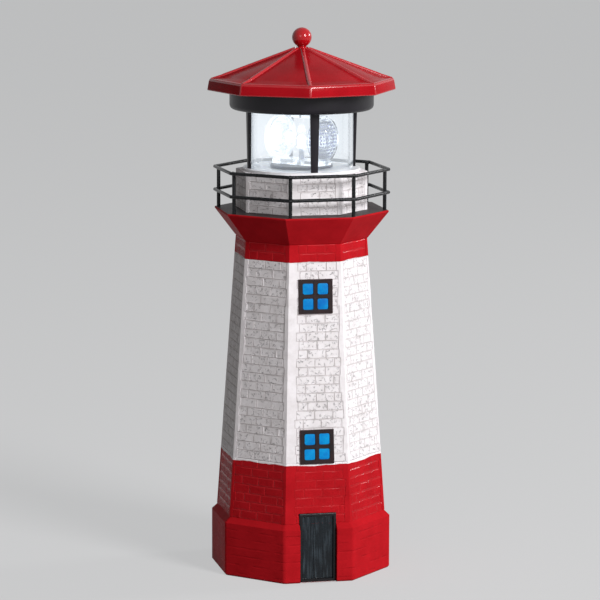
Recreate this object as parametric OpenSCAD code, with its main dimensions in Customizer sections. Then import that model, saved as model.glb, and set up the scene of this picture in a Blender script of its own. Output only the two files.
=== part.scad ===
// Garden lighthouse ornament with a revolving lamp.
// A hollow cast tower carries a lantern unit that lifts out of it. The lantern
// holds a small gear drive, which turns a two-sided lens head round a fixed lamp.
// Millimetres, +Z up, origin at the centre of the base, door facing -Y.

/* [Tower] */
// Plinth, radius to its corners
plinth_r = 59; // [57:0.5:62]
// Plinth, height of its upright faces
plinth_h = 34.5; // [30:0.5:38]
// Height of the slope between plinth and shaft
plinth_slope_h = 3.5; // [2:0.5:5]
// Shaft, corner radius at its foot
shaft_foot_r = 55.5; // [54:0.5:57]
// Shaft, corner radius under the corbel
shaft_head_r = 43; // [42:0.5:45]
// Height of the tapered shaft
shaft_h = 177.5; // [160:0.5:200]
// Height of the corbel that flares out under the gallery
corbel_h = 18.5; // [16:0.5:22]
// Gallery deck, corner radius
deck_r = 56.8; // [56:0.2:60]
// Height of the upright edge round the deck
deck_rim_h = 1.2; // [0.8:0.1:1.6]
// Drum above the gallery, corner radius
drum_r = 42.9; // [42:0.1:44]
// Drum, height
drum_h = 25; // [22:0.5:28]
// Casting wall
tower_wall = 5; // [4:0.25:5.5]

/* [Door and windows] */
// Door surround, width
door_w = 24; // [20:0.5:28]
// Door surround, height
door_h = 44.7; // [42:0.1:48]
// Width of the door surround's border
door_border = 2.7; // [2:0.1:4]
// Window, width and height over its frame
window_w = 22; // [18:0.5:24]
// Window frame bar
window_bar = 3; // [2:0.1:4]
// Height of the lower window's middle
lower_window_z = 87.2; // [80:0.2:95]
// Height of the upper window's middle
upper_window_z = 182.8; // [175:0.2:188]
// How far door and window frames stand proud
frame_relief = 1; // [0.6:0.1:1.5]

/* [Gallery rail] */
// Turn of the rail against the tower's corners, degrees
rail_turn = 2.6; // [0:0.2:5]
// Post diameter
post_d = 2.4; // [2:0.1:3]
// Rail wire diameter
rail_d = 2.2; // [1.8:0.1:2.6]
// Rail ring, radius to its corners
rail_r = 56.2; // [55:0.1:57]
// Height of the upper rail above the deck
upper_rail_h = 26; // [22:0.5:30]
// Height of the lower rail above the deck
lower_rail_h = 11.2; // [8:0.2:14]
// Depth of the post holes in the deck
post_hole_h = 1.5; // [1:0.1:1.6]

/* [Lantern] */
// Clear cylinder, outside radius
glass_r = 33.2; // [32.6:0.1:33.6]
// Clear cylinder, wall
glass_wall = 1.6; // [1.2:0.1:2]
// Depth of the groove that the clear cylinder stands in
glass_seat_h = 1.4; // [1:0.1:1.6]
// Height of the lamp room, from its floor to the cage plate
room_h = 37.4; // [37:0.2:42]
// Lantern base flange, radius
flange_r = 37.5; // [37:0.1:38.5]
// Lantern base flange, thickness
flange_t = 1.6; // [1.6:0.1:2]
// Skirt that plugs into the tower, outside radius
skirt_r = 34; // [33.9:0.1:34.4]
// Skirt wall
skirt_wall = 1.7; // [1.4:0.1:1.9]
// Depth of the skirt below the flange
skirt_h = 36.6; // [36:0.2:38]
// Turn of the cage legs, degrees
cage_turn = 1.2; // [-10:0.2:10]
// Number of cage legs
leg_count = 4; // [4:1:4]
// Leg width at the cage ring
leg_top_w = 5.9; // [5:0.1:7]
// Leg width at the lantern floor
leg_foot_w = 4.5; // [3.8:0.1:5]
// Leg thickness at the cage ring
leg_top_t = 2.5; // [2.3:0.1:3]
// Leg thickness at the lantern floor
leg_foot_t = 1.8; // [1.7:0.1:2]
// Cage ring, radius
ring_r = 46.2; // [45.8:0.1:48]
// Cage ring, height up to the eaves
ring_h = 12; // [11:0.5:14]
// Rounding of the ring's lower edge
ring_round = 3; // [2:0.5:4]
// Cage plate and wall thickness
cage_t = 2; // [2:0.1:2.4]

/* [Roof] */
// Turn of the roof's corners against +X, degrees
roof_turn = -7.25; // [-20:0.25:20]
// Eaves, corner radius at the bottom edge
eaves_r = 60.7; // [59.8:0.1:63]
// Fascia height
fascia_h = 7.6; // [7:0.2:9]
// How far the fascia leans in over its height
fascia_lean = 1.2; // [0.5:0.1:1.5]
// Width of the flat lip above the fascia
lip_w = 8.5; // [7:0.5:10]
// Rise of the flat lip
lip_rise = 2.1; // [1.8:0.1:2.6]
// Rise of the slope above the lip
slope_rise = 16.8; // [15:0.2:20]
// Corner radius of the cut-off peak
peak_r = 5.6; // [5:0.1:7]
// Roof wall
roof_wall = 2.3; // [2:0.1:2.6]
// Ridge rib diameter
ridge_d = 3; // [2.4:0.1:3.6]
// Finial ball diameter
ball_d = 12.6; // [11:0.2:14]
// Finial neck diameter
neck_d = 5.6; // [5:0.1:6]
// Length of the finial neck between peak and ball
neck_h = 1.7; // [1:0.1:2.4]
// Solar panel, length down the slope
panel_len = 24; // [20:0.5:25]
// Solar panel thickness
panel_t = 1.2; // [1:0.1:1.6]

/* [Lens head] */
// Turn of the lens axis, degrees from +X
lens_turn = -50.6; // [-90:0.2:90]
// Lens rim, outside radius
lens_rim_r = 14.7; // [14:0.1:15]
// Lens, radius in its rim
lens_r = 13.3; // [12.8:0.1:13.4]
// Distance from the turning axis to the lens faces
lens_face_x = 18.4; // [17.5:0.1:19]
// Turntable radius
turntable_r = 20.1; // [19:0.1:22]
// Lamp diameter
lamp_d = 5; // [4.8:0.1:5.4]
// Top pivot pin diameter
pivot_d = 2.5; // [2:0.1:3]

/* [Gear drive] */
// Gear module
gear_m = 0.6; // [0.6:0.01:0.62]
// Teeth of the gear on the lens head
drive_teeth = 48; // [46:1:48]
// Teeth of the idler's small gear
idler_small_teeth = 12; // [12:1:13]
// Teeth of the idler's large gear
idler_large_teeth = 36; // [34:1:36]
// Teeth of the motor pinion
pinion_teeth = 10; // [10:1:11]
// Play between meshing teeth
backlash = 0.12; // [0.08:0.01:0.16]
// Direction from the lens axis to the idler, degrees
idler_dir = 200; // [196:1:204]
// Direction from the idler to the motor, degrees
motor_dir = 300; // [296:1:304]
// Motor can diameter
motor_d = 15.5; // [14:0.1:15.6]
// Motor can, distance over its flats
motor_flat = 12; // [11:0.1:12.5]
// Motor can length
motor_len = 17; // [15:0.5:17.5]
// Motor shaft diameter
shaft_d = 1.5; // [1.2:0.1:1.8]
// Idler axle diameter
axle_d = 2; // [1.6:0.1:2.2]
// Turntable hub diameter
hub_d = 9; // [8.6:0.1:9.4]

/* [Power] */
// Cell diameter (AA)
cell_d = 14.5; // [14:0.1:14.5]
// Cell length (AA), over its button
cell_len = 50.5; // [49.5:0.1:50.5]
// Battery contact thickness and spring room at each end
contact_room = 1.9; // [1.6:0.1:2]
// Travel of the power switch
switch_travel = 2.4; // [2:0.1:3]
// Diameter of the lead from the solar panels
lead_d = 0.9; // [0.8:0.1:1]

/* [Fits] */
// Play of a turning shaft in its hole, on the radius
run_fit = 0.05; // [0.03:0.01:0.09]
// Play of a part set in its seat
seat_fit = 0.15; // [0.1:0.05:0.2]
// Play of the lantern skirt in the tower
skirt_fit = 0.35; // [0.3:0.05:0.5]
// Bore over a pin or screw that is fixed in it, on the diameter
pin_gap = 0.1; // [0.06:0.01:0.14]
// Bore over a pin that is pressed in, on the diameter
press_gap = 0.04; // [0.02:0.01:0.06]
// Clearance hole over a screw or its head, on the diameter
screw_gap = 0.3; // [0.2:0.05:0.4]

/* [Hidden] */
$fn = 72;
eps = 0.01;
flat_of_corner = cos(22.5);    // apothem of an octagon with corner radius 1

// heights, from the ground up
shaft_foot_z = plinth_h + plinth_slope_h;
shaft_head_z = shaft_foot_z + shaft_h;
deck_z = shaft_head_z + corbel_h;
drum_z = deck_z + drum_h;
floor_z = drum_z + flange_t;             // lamp room floor
plate_z = floor_z + room_h;              // underside of the cage plate
eaves_z = plate_z + ring_h;
fascia_z = eaves_z + fascia_h;
slope_z = fascia_z + lip_rise;
peak_z = slope_z + slope_rise;
ball_sink = 0.8;                         // the ball dips this far over its neck
finial_stem_d = neck_d * 0.7;
finial_stem_h = 7.5;                     // stem below the roof's peak
ball_z = peak_z + neck_h + ball_d / 2 - ball_sink;
lens_z = floor_z + room_h / 2 - 0.3;     // lens axis

// posts stand just inside the rail's mitred corners
post_r = rail_r - post_d / 2 - rail_d / 2 / flat_of_corner - 0.03;

// shaft batter on the flat faces
batter = atan((shaft_foot_r - shaft_head_r) * flat_of_corner / shaft_h);
function shaft_corner(z) = shaft_foot_r + (shaft_head_r - shaft_foot_r) * (z - shaft_foot_z) / shaft_h;
function shaft_flat(z) = shaft_corner(z) * flat_of_corner;

// lantern base levels, downwards
floor_t = 2.2;
skirt_in_r = skirt_r - skirt_wall;
skirt_z = drum_z - skirt_h;              // lower edge of the skirt
bush_flange_t = 0.5;
bush_boss_h = 6;
bush_wall = 1;
bush_boss_wall = 3;                      // wall of the boss round the floor bush
floor_bush_r = hub_d / 2 + run_fit + bush_wall;
pivot_bush_r = pivot_d / 2 + run_fit + bush_wall;
axle_seat_h = 3.4;                       // the idler's axle sits this far in the floor
turntable_gap = 0.15;
turntable_z = floor_z + bush_flange_t + turntable_gap;
turntable_t = 1.3;
bush_foot_z = floor_z - bush_boss_h;
drive_gear_t = 3;
drive_boss_h = 0.6;
drive_gear_z = bush_foot_z - turntable_gap - drive_boss_h - drive_gear_t;
hub_foot_z = drive_gear_z - 1;
gear_gap = 1;
idler_large_t = 2.4;
idler_large_z = drive_gear_z - gear_gap - idler_large_t;
plate_gap = 1.5;
gear_plate_t = 1.5;
gear_plate_z = idler_large_z - plate_gap - gear_plate_t;

// gear centres
idler_dist = gear_m * (drive_teeth + idler_small_teeth) / 2;
motor_dist = gear_m * (idler_large_teeth + pinion_teeth) / 2;
idler_pos = idler_dist * [cos(idler_dir), sin(idler_dir)];
motor_pos = idler_pos + motor_dist * [cos(motor_dir), sin(motor_dir)];
shift_idler = 0.35;                      // profile shift of the small gears
shift_pinion = 0.42;

// bottom cover and battery
cover_t = 3;
cover_z = skirt_z - cover_t;
door_t = 1.8;
box_wall = 1.2;
cell_y = 4;
cell_gap = 0.4;
cell_z = cover_z + door_t + 2.2 + cell_d / 2;
box_len = cell_len + 2 * contact_room;
box_w = cell_d + 2 * cell_gap;
box_top_z = cell_z + cell_d / 2 + cell_gap;
boss_d = 5.2;
screw_d = 2.4;
screw_head_d = 4.6;
screw_head_h = 1.4;
plate_screw_d = 1.8;
plate_screw_len = 6;
plate_screw_head_d = 3.6;
plate_screw_head_h = 0.8;
door_screw_len = 8;
cover_screw_len = 10;
roof_screw_len = 12;
cover_boss_r = skirt_in_r - boss_d / 2 + 0.2;
cover_boss_dirs = [90, 210, 330];
cover_boss_h = 13;
plate_posts = [[-27, 7], [3, -26], [18, 9]];
plate_post_d = 4.4;
roof_post_r = 39.4;
roof_post_d = 5.6;
roof_post_dirs = [for (k = [0:3]) roof_turn + 45 + 90 * k];
board_pos = [13.2, -13.4];
board_size = [16, 15, 1.2];
board_z = skirt_z + 8;
switch_pos = [13.2, -12];
switch_size = [8.6, 3.8, 3.6];
knob_w = 2;
knob_out = 2;
knob_in = 2;                             // the knob's foot inside the switch
knob_gap = 0.3;

// the lead's way: from the roof down the rear leg, over the cell and to the circuit board
lead_dir = 90 + cage_turn;
lead_r = glass_r + 0.12 + lead_d / 2;
lead_in_r = skirt_in_r - 1.5;
function on_leg(r, z) = [r * cos(lead_dir), r * sin(lead_dir), z];
lead_top_z = plate_z + cage_t;
lead_path = [
    on_leg(24, lead_top_z + 16),
    on_leg(27, lead_top_z + 14),
    on_leg(lead_r - 1.5, lead_top_z + 7),
    on_leg(lead_r, lead_top_z + 3),
    on_leg(lead_r, floor_z - glass_seat_h - 1.2),
    on_leg(lead_r - 0.9, floor_z - glass_seat_h - 2.4),
    on_leg(lead_in_r + 0.6, floor_z - glass_seat_h - 4.2),
    on_leg(lead_in_r, floor_z - glass_seat_h - 6.5),
    on_leg(lead_in_r - 2.5, gear_plate_z - 0.6),
    on_leg(lead_in_r - 5, gear_plate_z - 2),
    [8, 14, gear_plate_z - 2.2],
    [8.4, -4.6, gear_plate_z - 2.5],
    [8.2, -7.6, gear_plate_z - 3.6],
    [8.2, -9, gear_plate_z - 6],
    [8.2, -9, board_z + board_size[2]]
];

// colours
red_paint = "#b81823";
white_paint = "#ece8e8";
black_paint = "#1d1d21";

// ---------- shared shapes ----------

// An octagonal body from its upright section, given as [corner radius, height]
// points from bottom to top. One corner lies in the direction turn.
module octagon_body(section, turn = 0) {
    last = len(section) - 1;
    points = [
        for (p = section, k = [0:7])
            [p[0] * cos(turn + 45 * k), p[0] * sin(turn + 45 * k), p[1]]
    ];
    walls = [
        for (i = [0 : last - 1], k = [0:7])
            let (a = 8 * i + k, b = 8 * i + (k + 1) % 8)
            [a, a + 8, b + 8, b]
    ];
    polyhedron(points, concat(
        [[for (k = [0:7]) k]],
        walls,
        [[for (k = [7 : -1 : 0]) 8 * last + k]]
    ));
}
corner_turn = 22.5;                      // turns a flat face towards -Y

module rounded_rect(w, h, r) {
    square([w - 2 * r, h], center = true);
    square([w, h - 2 * r], center = true);
    for (x = [-1, 1], y = [-1, 1])
        translate([x * (w / 2 - r), y * (h / 2 - r)])
            circle(r);
}

// A round bar from point a to point b
module bar(a, b, d, sides = 24) {
    v = b - a;
    translate(a)
        rotate([0, acos(v[2] / norm(v)), atan2(v[1], v[0])])
            cylinder(d = d, h = norm(v), $fn = sides);
}

module tube(outer_r, inner_r, h) {
    difference() {
        cylinder(r = outer_r, h = h);
        translate([0, 0, -1])
            cylinder(r = inner_r, h = h + 2);
    }
}

// A screw standing on its point: shank upwards from its head at z = 0
module screw(len, d = screw_d, head_d = screw_head_d, head_h = screw_head_h) {
    difference() {
        union() {
            cylinder(d = head_d, h = head_h);
            cylinder(d = d, h = len);
        }
        for (a = [0, 90])
            rotate(a)
                cube([head_d * 0.6, 0.6, head_h], center = true);
    }
}

// ---------- tower ----------

module on_wall(z) {
    translate([0, -shaft_flat(z), z])
        rotate([90 - batter, 0, 0])
            children();
}

module window(z) {
    pane = (window_w - 3 * window_bar) / 2;
    pane_step = (pane + window_bar) / 2;
    on_wall(z)
        difference() {
            translate([0, 0, -1])
                linear_extrude(height = 1 + frame_relief)
                    square(window_w, center = true);
            for (x = [-1, 1], y = [-1, 1])
                translate([x * pane_step, y * pane_step, frame_relief * 0.3])
                    linear_extrude(height = frame_relief)
                        rounded_rect(pane, pane, 1);
        }
}

door_face_y = -shaft_flat(shaft_foot_z) - frame_relief * 0.7;
door_back_y = door_face_y + 2.5 * frame_relief;

module door_cut() {
    translate([-door_w / 2, -plinth_r, -1])
        cube([door_w, plinth_r + door_back_y, door_h + 1]);
}

module door() {
    panel_w = door_w - 2 * door_border;
    panel_foot = 2;
    difference() {
        translate([-door_w / 2, door_face_y, 0])
            cube([door_w, 4, door_h]);
        translate([-panel_w / 2, door_face_y - 1, panel_foot])
            cube([panel_w, 1 + 1.1 * frame_relief, door_h - panel_foot - door_border]);
    }
}

module post_places() {
    for (k = [0:7])
        rotate(corner_turn + rail_turn + 45 * k)
            translate([post_r, 0, 0])
                children();
}

module tower() {
    socket_z = deck_z - corbel_h * 0.4;
    wall_r = tower_wall / flat_of_corner;
    difference() {
        union() {
            difference() {
                color(red_paint)
                    octagon_body([
                        [plinth_r - 1, 0], [plinth_r, 1], [plinth_r, plinth_h],
                        [shaft_foot_r, shaft_foot_z], [shaft_head_r, shaft_head_z],
                        [deck_r, deck_z - deck_rim_h], [deck_r, deck_z], [drum_r, deck_z], [drum_r, drum_z]
                    ], corner_turn);
                door_cut();
            }
            color(black_paint)
                door();
            color(black_paint)
                window(lower_window_z);
            color(black_paint)
                window(upper_window_z);
        }
        // hollow of the casting, open below
        octagon_body([
            [shaft_foot_r - wall_r + 0.8, -1],
            [shaft_foot_r - wall_r, shaft_foot_z], [shaft_head_r - wall_r, shaft_head_z],
            [shaft_head_r - wall_r, socket_z]
        ], corner_turn);
        // round socket for the lantern
        translate([0, 0, socket_z - 5])
            cylinder(r = skirt_r + skirt_fit, h = drum_z - socket_z + 6);
        translate([0, 0, deck_z - post_hole_h])
            post_places()
                cylinder(d = post_d + pin_gap, h = post_hole_h + 1);
    }
}

// ---------- gallery rail ----------

module rail_posts() {
    color(black_paint)
        post_places() {
            translate([0, 0, deck_z - post_hole_h])
                cylinder(d = post_d, h = post_hole_h + upper_rail_h + 0.8);
        }
}

module rail_ring(z) {
    rotate(corner_turn + rail_turn)
        translate([0, 0, z])
            rotate_extrude($fn = 8)
                translate([rail_r, 0])
                    circle(d = rail_d, $fn = 20);
}

module rail_upper() {
    color(black_paint) rail_ring(deck_z + upper_rail_h);
}

module rail_lower() {
    color(black_paint) rail_ring(deck_z + lower_rail_h);
}

// ---------- lantern shell ----------

// A tube of diameter d along the points of a path, with one ring of sides at each point
function unit(v) = v / norm(v);
function path_dirs(path) = [
    for (i = [0 : len(path) - 1])
        unit((i > 0 ? unit(path[i] - path[i - 1]) : [0, 0, 0])
           + (i < len(path) - 1 ? unit(path[i + 1] - path[i]) : [0, 0, 0]))
];
function path_sides(dirs, last, i = 0) =
    i == len(dirs) ? [] :
    let (side = unit(last - (last * dirs[i]) * dirs[i]))
    concat([side], path_sides(dirs, side, i + 1));

module path_tube(path, d, sides = 8) {
    dirs = path_dirs(path);
    across = path_sides(dirs, [dirs[0][1], -dirs[0][0], 0.001]);
    last = len(path) - 1;
    points = [
        for (i = [0:last], k = [0 : sides - 1])
            let (a = 360 * k / sides)
            path[i] + d / 2 * (cos(a) * across[i] + sin(a) * cross(dirs[i], across[i]))
    ];
    walls = [
        for (i = [0 : last - 1], k = [0 : sides - 1])
            let (a = i * sides + k, b = i * sides + (k + 1) % sides)
            each [[a, a + sides, b], [b, a + sides, b + sides]]
    ];
    polyhedron(points, concat(
        [[for (k = [0 : sides - 1]) k]],
        walls,
        [[for (k = [sides - 1 : -1 : 0]) last * sides + k]]
    ));
}

// Holes and grooves that the lead passes through, each stretch running on a little
module lead_way() {
    for (i = [0 : len(lead_path) - 2]) {
        on = 0.5 * unit(lead_path[i + 1] - lead_path[i]);
        bar(lead_path[i] - on, lead_path[i + 1] + on, lead_d + 0.4);
    }
}

module leg_places() {
    for (k = [0 : leg_count - 1])
        rotate(cage_turn + 360 / leg_count * k)
            children();
}

// Each leg has a tenon under it, but the rear one, which hides the lead
module tenon_places() {
    for (k = [0 : leg_count - 1])
        if (k != rear_leg)
            rotate(cage_turn + 360 / leg_count * k)
                translate([tenon_r, 0, floor_z - tenon_h])
                    children();
}
rear_leg = 1;

tenon_d = 1.5;
leg_in_r = glass_r + 0.3;
tenon_r = leg_in_r + leg_foot_t / 2;
tenon_h = flange_t - 0.2;

module lantern_base() {
    groove_in_r = glass_r - glass_wall - seat_fit;
    color(white_paint)
        difference() {
            union() {
                translate([0, 0, drum_z])
                    cylinder(r = flange_r, h = flange_t);
                translate([0, 0, floor_z - floor_t - 1])
                    cylinder(r = skirt_r, h = floor_t);
                translate([0, 0, skirt_z])
                    tube(skirt_r, skirt_in_r, skirt_h);
                translate([0, 0, bush_foot_z])
                    cylinder(r = floor_bush_r + bush_boss_wall, h = bush_boss_h - eps);
                // socket for the idler's axle
                translate([idler_pos[0], idler_pos[1], bush_foot_z + 0.6])
                    cylinder(d = 3 * axle_d, h = bush_boss_h - 1);
                for (p = plate_posts)
                    translate([p[0], p[1], gear_plate_z + gear_plate_t])
                        cylinder(d = plate_post_d, h = floor_z - gear_plate_z - gear_plate_t - 1);
                for (a = cover_boss_dirs)
                    rotate(a)
                        translate([cover_boss_r, 0, skirt_z])
                            cylinder(d = boss_d, h = cover_boss_h);
            }
            translate([0, 0, floor_z - glass_seat_h])
                difference() {
                    cylinder(r = glass_r + seat_fit, h = glass_seat_h + 1);
                    cylinder(r = groove_in_r, h = glass_seat_h + 1);
                }
            translate([0, 0, bush_foot_z - 1])
                cylinder(r = floor_bush_r + seat_fit / 2, h = bush_boss_h + 4);
            tenon_places()
                cylinder(d = tenon_d + pin_gap, h = tenon_h + 1);
            translate([idler_pos[0], idler_pos[1], bush_foot_z - 1])
                cylinder(d = axle_d + pin_gap, h = axle_seat_h + 1.2);
            for (p = plate_posts)
                translate([p[0], p[1], gear_plate_z])
                    cylinder(d = plate_screw_d + pin_gap, h = gear_plate_t + plate_screw_len);
            for (a = cover_boss_dirs)
                rotate(a)
                    translate([cover_boss_r, 0, skirt_z - 1])
                        cylinder(d = screw_d + pin_gap, h = cover_screw_len);
            lead_way();
        }
}

module lantern_glass() {
    color([0.85, 0.95, 1, 0.35])
        translate([0, 0, floor_z - glass_seat_h])
            tube(glass_r, glass_r - glass_wall, room_h + glass_seat_h);
}

module cage() {
    soffit_t = 1.6;
    soffit_up = 0.8;
    soffit_r = fascia_r - (roof_wall + 2 * seat_fit) / flat_of_corner;
    in_r = ring_r - cage_t - 0.2;
    color(black_paint)
        difference() {
            union() {
                // ring with a rounded lower edge
                rotate_extrude()
                    union() {
                        translate([0, plate_z])
                            square([ring_r - ring_round, ring_h + soffit_up + soffit_t]);
                        translate([0, plate_z + ring_round])
                            square([ring_r, ring_h + soffit_up + soffit_t - ring_round]);
                        translate([ring_r - ring_round, plate_z + ring_round])
                            circle(ring_round);
                    }
                // soffit plate inside the eaves
                octagon_body([[soffit_r, eaves_z + soffit_up], [soffit_r, eaves_z + soffit_up + soffit_t]],
                    roof_turn);
                // legs, thinner towards the floor
                intersection() {
                    rotate_extrude()
                        polygon([
                            [leg_in_r, floor_z], [leg_in_r + leg_foot_t, floor_z],
                            [leg_in_r + leg_top_t, plate_z + 1], [leg_in_r, plate_z + 1]
                        ]);
                    leg_places()
                        rotate([90, 0, 90])
                            linear_extrude(height = ring_r)
                                polygon([
                                    [-leg_foot_w / 2, floor_z], [leg_foot_w / 2, floor_z],
                                    [leg_top_w / 2, plate_z + 1], [-leg_top_w / 2, plate_z + 1]
                                ]);
                }
                tenon_places()
                    cylinder(d = tenon_d, h = tenon_h + 1);
            }
            difference() {
                translate([0, 0, plate_z + cage_t])
                    cylinder(r = in_r, h = ring_h + 10);
                cylinder(r = pivot_boss_r, h = plate_z + cage_t + 2);
            }
            translate([0, 0, plate_z - 1])
                cylinder(r = pivot_bush_r + seat_fit / 2, h = 10);
            for (a = roof_post_dirs)
                rotate(a)
                    translate([roof_post_r, 0, plate_z - 1]) {
                        cylinder(d = screw_d + screw_gap, h = 10);
                        cylinder(d = screw_head_d + screw_gap, h = 1 + screw_head_h - 0.2);
                    }
            lead_way();
        }
}
pivot_boss_r = 5;

fascia_r = eaves_r - fascia_lean;        // corner radius at the fascia's top
edge_in = 0.9;                           // rounding over the fascia, inwards
edge_h = 0.8;                            // and downwards
slope_foot_r = fascia_r - edge_in - lip_w;

// Roof section as [corner radius, height], drawn in from the outside by inset
function roof_section(inset_r, inset_z, foot_z) = [
    [eaves_r - inset_r, foot_z],
    [fascia_r - inset_r, fascia_z - edge_h - inset_z],
    [fascia_r - edge_in - inset_r, fascia_z - inset_z],
    [fascia_r - edge_in - lip_w * 0.6 - inset_r, fascia_z + lip_rise * 0.45 - inset_z],
    [slope_foot_r - inset_r * 0.7, slope_z - inset_z],
    [peak_r, peak_z - inset_z]
];
pitch = atan(slope_rise / ((slope_foot_r - peak_r) * flat_of_corner));
panel_mid = (slope_foot_r + peak_r) / 2 * flat_of_corner + 1.5;
panel_mid_z = peak_z - (panel_mid - peak_r * flat_of_corner) * tan(pitch);
panel_proud = 0.3;
panel_margin = 2.6;

// Puts its children on the facet that looks along dir: x runs down the slope, z out of it
module on_facet(dir) {
    rotate(dir)
        translate([panel_mid, 0, panel_mid_z])
            rotate([0, pitch, 0])
                children();
}

module panel_shape(grow = 0) {
    x = panel_len / 2 + grow;
    half_in = (panel_mid - x * cos(pitch)) * tan(22.5) - panel_margin + grow;
    half_out = (panel_mid + x * cos(pitch)) * tan(22.5) - panel_margin + grow;
    polygon([[-x, -half_in], [x, -half_out], [x, half_out], [-x, half_in]]);
}
panel_dirs = [roof_turn + 67.5, roof_turn + 112.5];

module roof() {
    color(red_paint)
        difference() {
            union() {
                difference() {
                    octagon_body(roof_section(0, 0, eaves_z), roof_turn);
                    octagon_body(roof_section(roof_wall, roof_wall, eaves_z - 1), roof_turn);
                }
                // ridge ribs
                for (k = [0:7])
                    rotate(roof_turn + 45 * k) {
                        bar([slope_foot_r, 0, slope_z], [peak_r - 1, 0, peak_z], ridge_d, 8);
                        bar([fascia_r - edge_in - 0.7, 0, fascia_z - 0.6],
                            [slope_foot_r - 0.6, 0, slope_z + 0.2], ridge_d * 0.9, 8);
                    }
                // posts for the screws, up to the slope
                intersection() {
                    octagon_body(roof_section(roof_wall / 2, roof_wall / 2, plate_z), roof_turn);
                    for (a = roof_post_dirs)
                        rotate(a)
                            translate([roof_post_r, 0, plate_z + cage_t + 0.1])
                                cylinder(d = roof_post_d, h = 40);
                }
                intersection() {
                    octagon_body(roof_section(roof_wall / 2, roof_wall / 2, plate_z), roof_turn);
                    translate([0, 0, peak_z - 9])
                        cylinder(d = finial_stem_d + 4, h = 9 - roof_wall / 2);
                }
            }
            for (a = roof_post_dirs)
                rotate(a)
                    translate([roof_post_r, 0, plate_z])
                        cylinder(d = screw_d + pin_gap, h = roof_screw_len + 0.5);
            for (dir = panel_dirs)
                on_facet(dir)
                    translate([0, 0, panel_proud - panel_t])
                        linear_extrude(height = panel_t + 2)
                            panel_shape(seat_fit);
            translate([0, 0, peak_z - finial_stem_h - 0.5])
                cylinder(d = finial_stem_d + pin_gap, h = 20);
        }
}

module roof_screws() {
    color("silver")
        for (a = roof_post_dirs)
            rotate(a)
                translate([roof_post_r, 0, plate_z - 0.2])
                    screw(roof_screw_len);
}

module finial() {
    color(red_paint) {
        translate([0, 0, ball_z])
            sphere(d = ball_d);
        translate([0, 0, peak_z])
            cylinder(d1 = neck_d + 2, d2 = neck_d, h = neck_h + ball_sink);
        translate([0, 0, peak_z - finial_stem_h])
            cylinder(d = finial_stem_d, h = finial_stem_h + 1.5);
    }
}

module solar_panel(dir) {
    color("#101a33")
        on_facet(dir)
            translate([0, 0, panel_proud - panel_t])
                linear_extrude(height = panel_t)
                    panel_shape();
}

module solar_panel_left() {
    solar_panel(panel_dirs[1]);
}

module solar_panel_right() {
    solar_panel(panel_dirs[0]);
}

module solar_lead() {
    color("#202020") path_tube(lead_path, lead_d);
}

// ---------- lens head, turns on the lantern floor ----------

module floor_bush() {
    bore = hub_d / 2 + run_fit;
    color("#b58b3c")
        translate([0, 0, bush_foot_z])
            difference() {
                union() {
                    cylinder(r = floor_bush_r, h = bush_boss_h);
                    translate([0, 0, bush_boss_h])
                        cylinder(r = floor_bush_r + 1.4 * bush_wall, h = bush_flange_t);
                }
                translate([0, 0, -1])
                    cylinder(r = bore, h = bush_boss_h + 3);
            }
}

pivot_bush_h = cage_t + 2;
pivot_flange = 0.8;

module pivot_bush() {
    bore = pivot_d / 2 + run_fit;
    color("#b58b3c")
        translate([0, 0, plate_z]) {
            tube(pivot_bush_r, bore, pivot_bush_h);
            translate([0, 0, pivot_bush_h])
                cylinder(r = pivot_bush_r + pivot_flange, h = pivot_flange);
        }
}

stem_d = 3.2;
hub_bore = 5.2;

module turntable() {
    color(black_paint)
        difference() {
            union() {
                translate([0, 0, turntable_z])
                    cylinder(r = turntable_r, h = turntable_t - 0.4);
                translate([0, 0, turntable_z + turntable_t - 0.4])
                    cylinder(r1 = turntable_r, r2 = turntable_r - 0.4, h = 0.4);
                translate([0, 0, hub_foot_z])
                    cylinder(d = hub_d, h = turntable_z - hub_foot_z + 0.5);
            }
            translate([0, 0, hub_foot_z - 1])
                cylinder(d = hub_bore, h = 40);
        }
}

// Half tooth angle at radius r, for z teeth of module m with profile shift x
function inv(a) = tan(a) * 180 / PI - a;
function half_tooth(r, m, z, x) =
    let (rb = m * z / 2 * cos(20),
         at_pitch = (90 + 2 * x * tan(20) * 180 / PI) / z - backlash / 4 / (m * z / 2) * 180 / PI)
    at_pitch + inv(20) - inv(acos(min(1, rb / max(r, rb))));

// A spur gear outline with involute flanks, one tooth centred on +X
module gear_outline(m, z, x = 0, steps = 4) {
    tip = m * (z / 2 + 1 + x);
    root = m * (z / 2 - 1.25 + x);
    foot = max(root, m * z / 2 * cos(20));
    radii = [for (i = [0:steps]) foot + (tip - foot) * i / steps];
    flank = concat([root], radii);
    polygon([
        for (k = [0 : z - 1], side = [-1, 1], i = [0 : len(flank) - 1])
            let (j = side < 0 ? i : len(flank) - 1 - i,
                 a = 360 / z * k + side * half_tooth(flank[j], m, z, x))
            flank[j] * [cos(a), sin(a)]
    ]);
}

module drive_gear() {
    color("#f1f1ea")
        translate([0, 0, drive_gear_z])
            difference() {
                union() {
                    rotate(idler_dir)
                        linear_extrude(height = drive_gear_t)
                            gear_outline(gear_m, drive_teeth, -shift_idler);
                    cylinder(d = hub_d + 4, h = drive_gear_t + drive_boss_h);
                }
                translate([0, 0, -1])
                    cylinder(d = hub_d + press_gap, h = drive_gear_t + 4);
                for (k = [0:5])
                    rotate(60 * k)
                        translate([(hub_d / 2 + 2 + gear_m * drive_teeth / 2 - 1.5) / 2, 0, -1])
                            cylinder(d = 3.2, h = drive_gear_t + 4);
            }
}

frame_foot_t = 3.2;
lens_t = 2;
lens_ledge = 0.6;                        // ledge in the rim that the lens rests on
bridge_t = 1.8;
bridge_z = lens_z + lens_rim_r - 1.2;    // underside of the bridge over the lamp
lamp_foot_z = lens_z - 6;
lamp_collar_h = 1;

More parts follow.
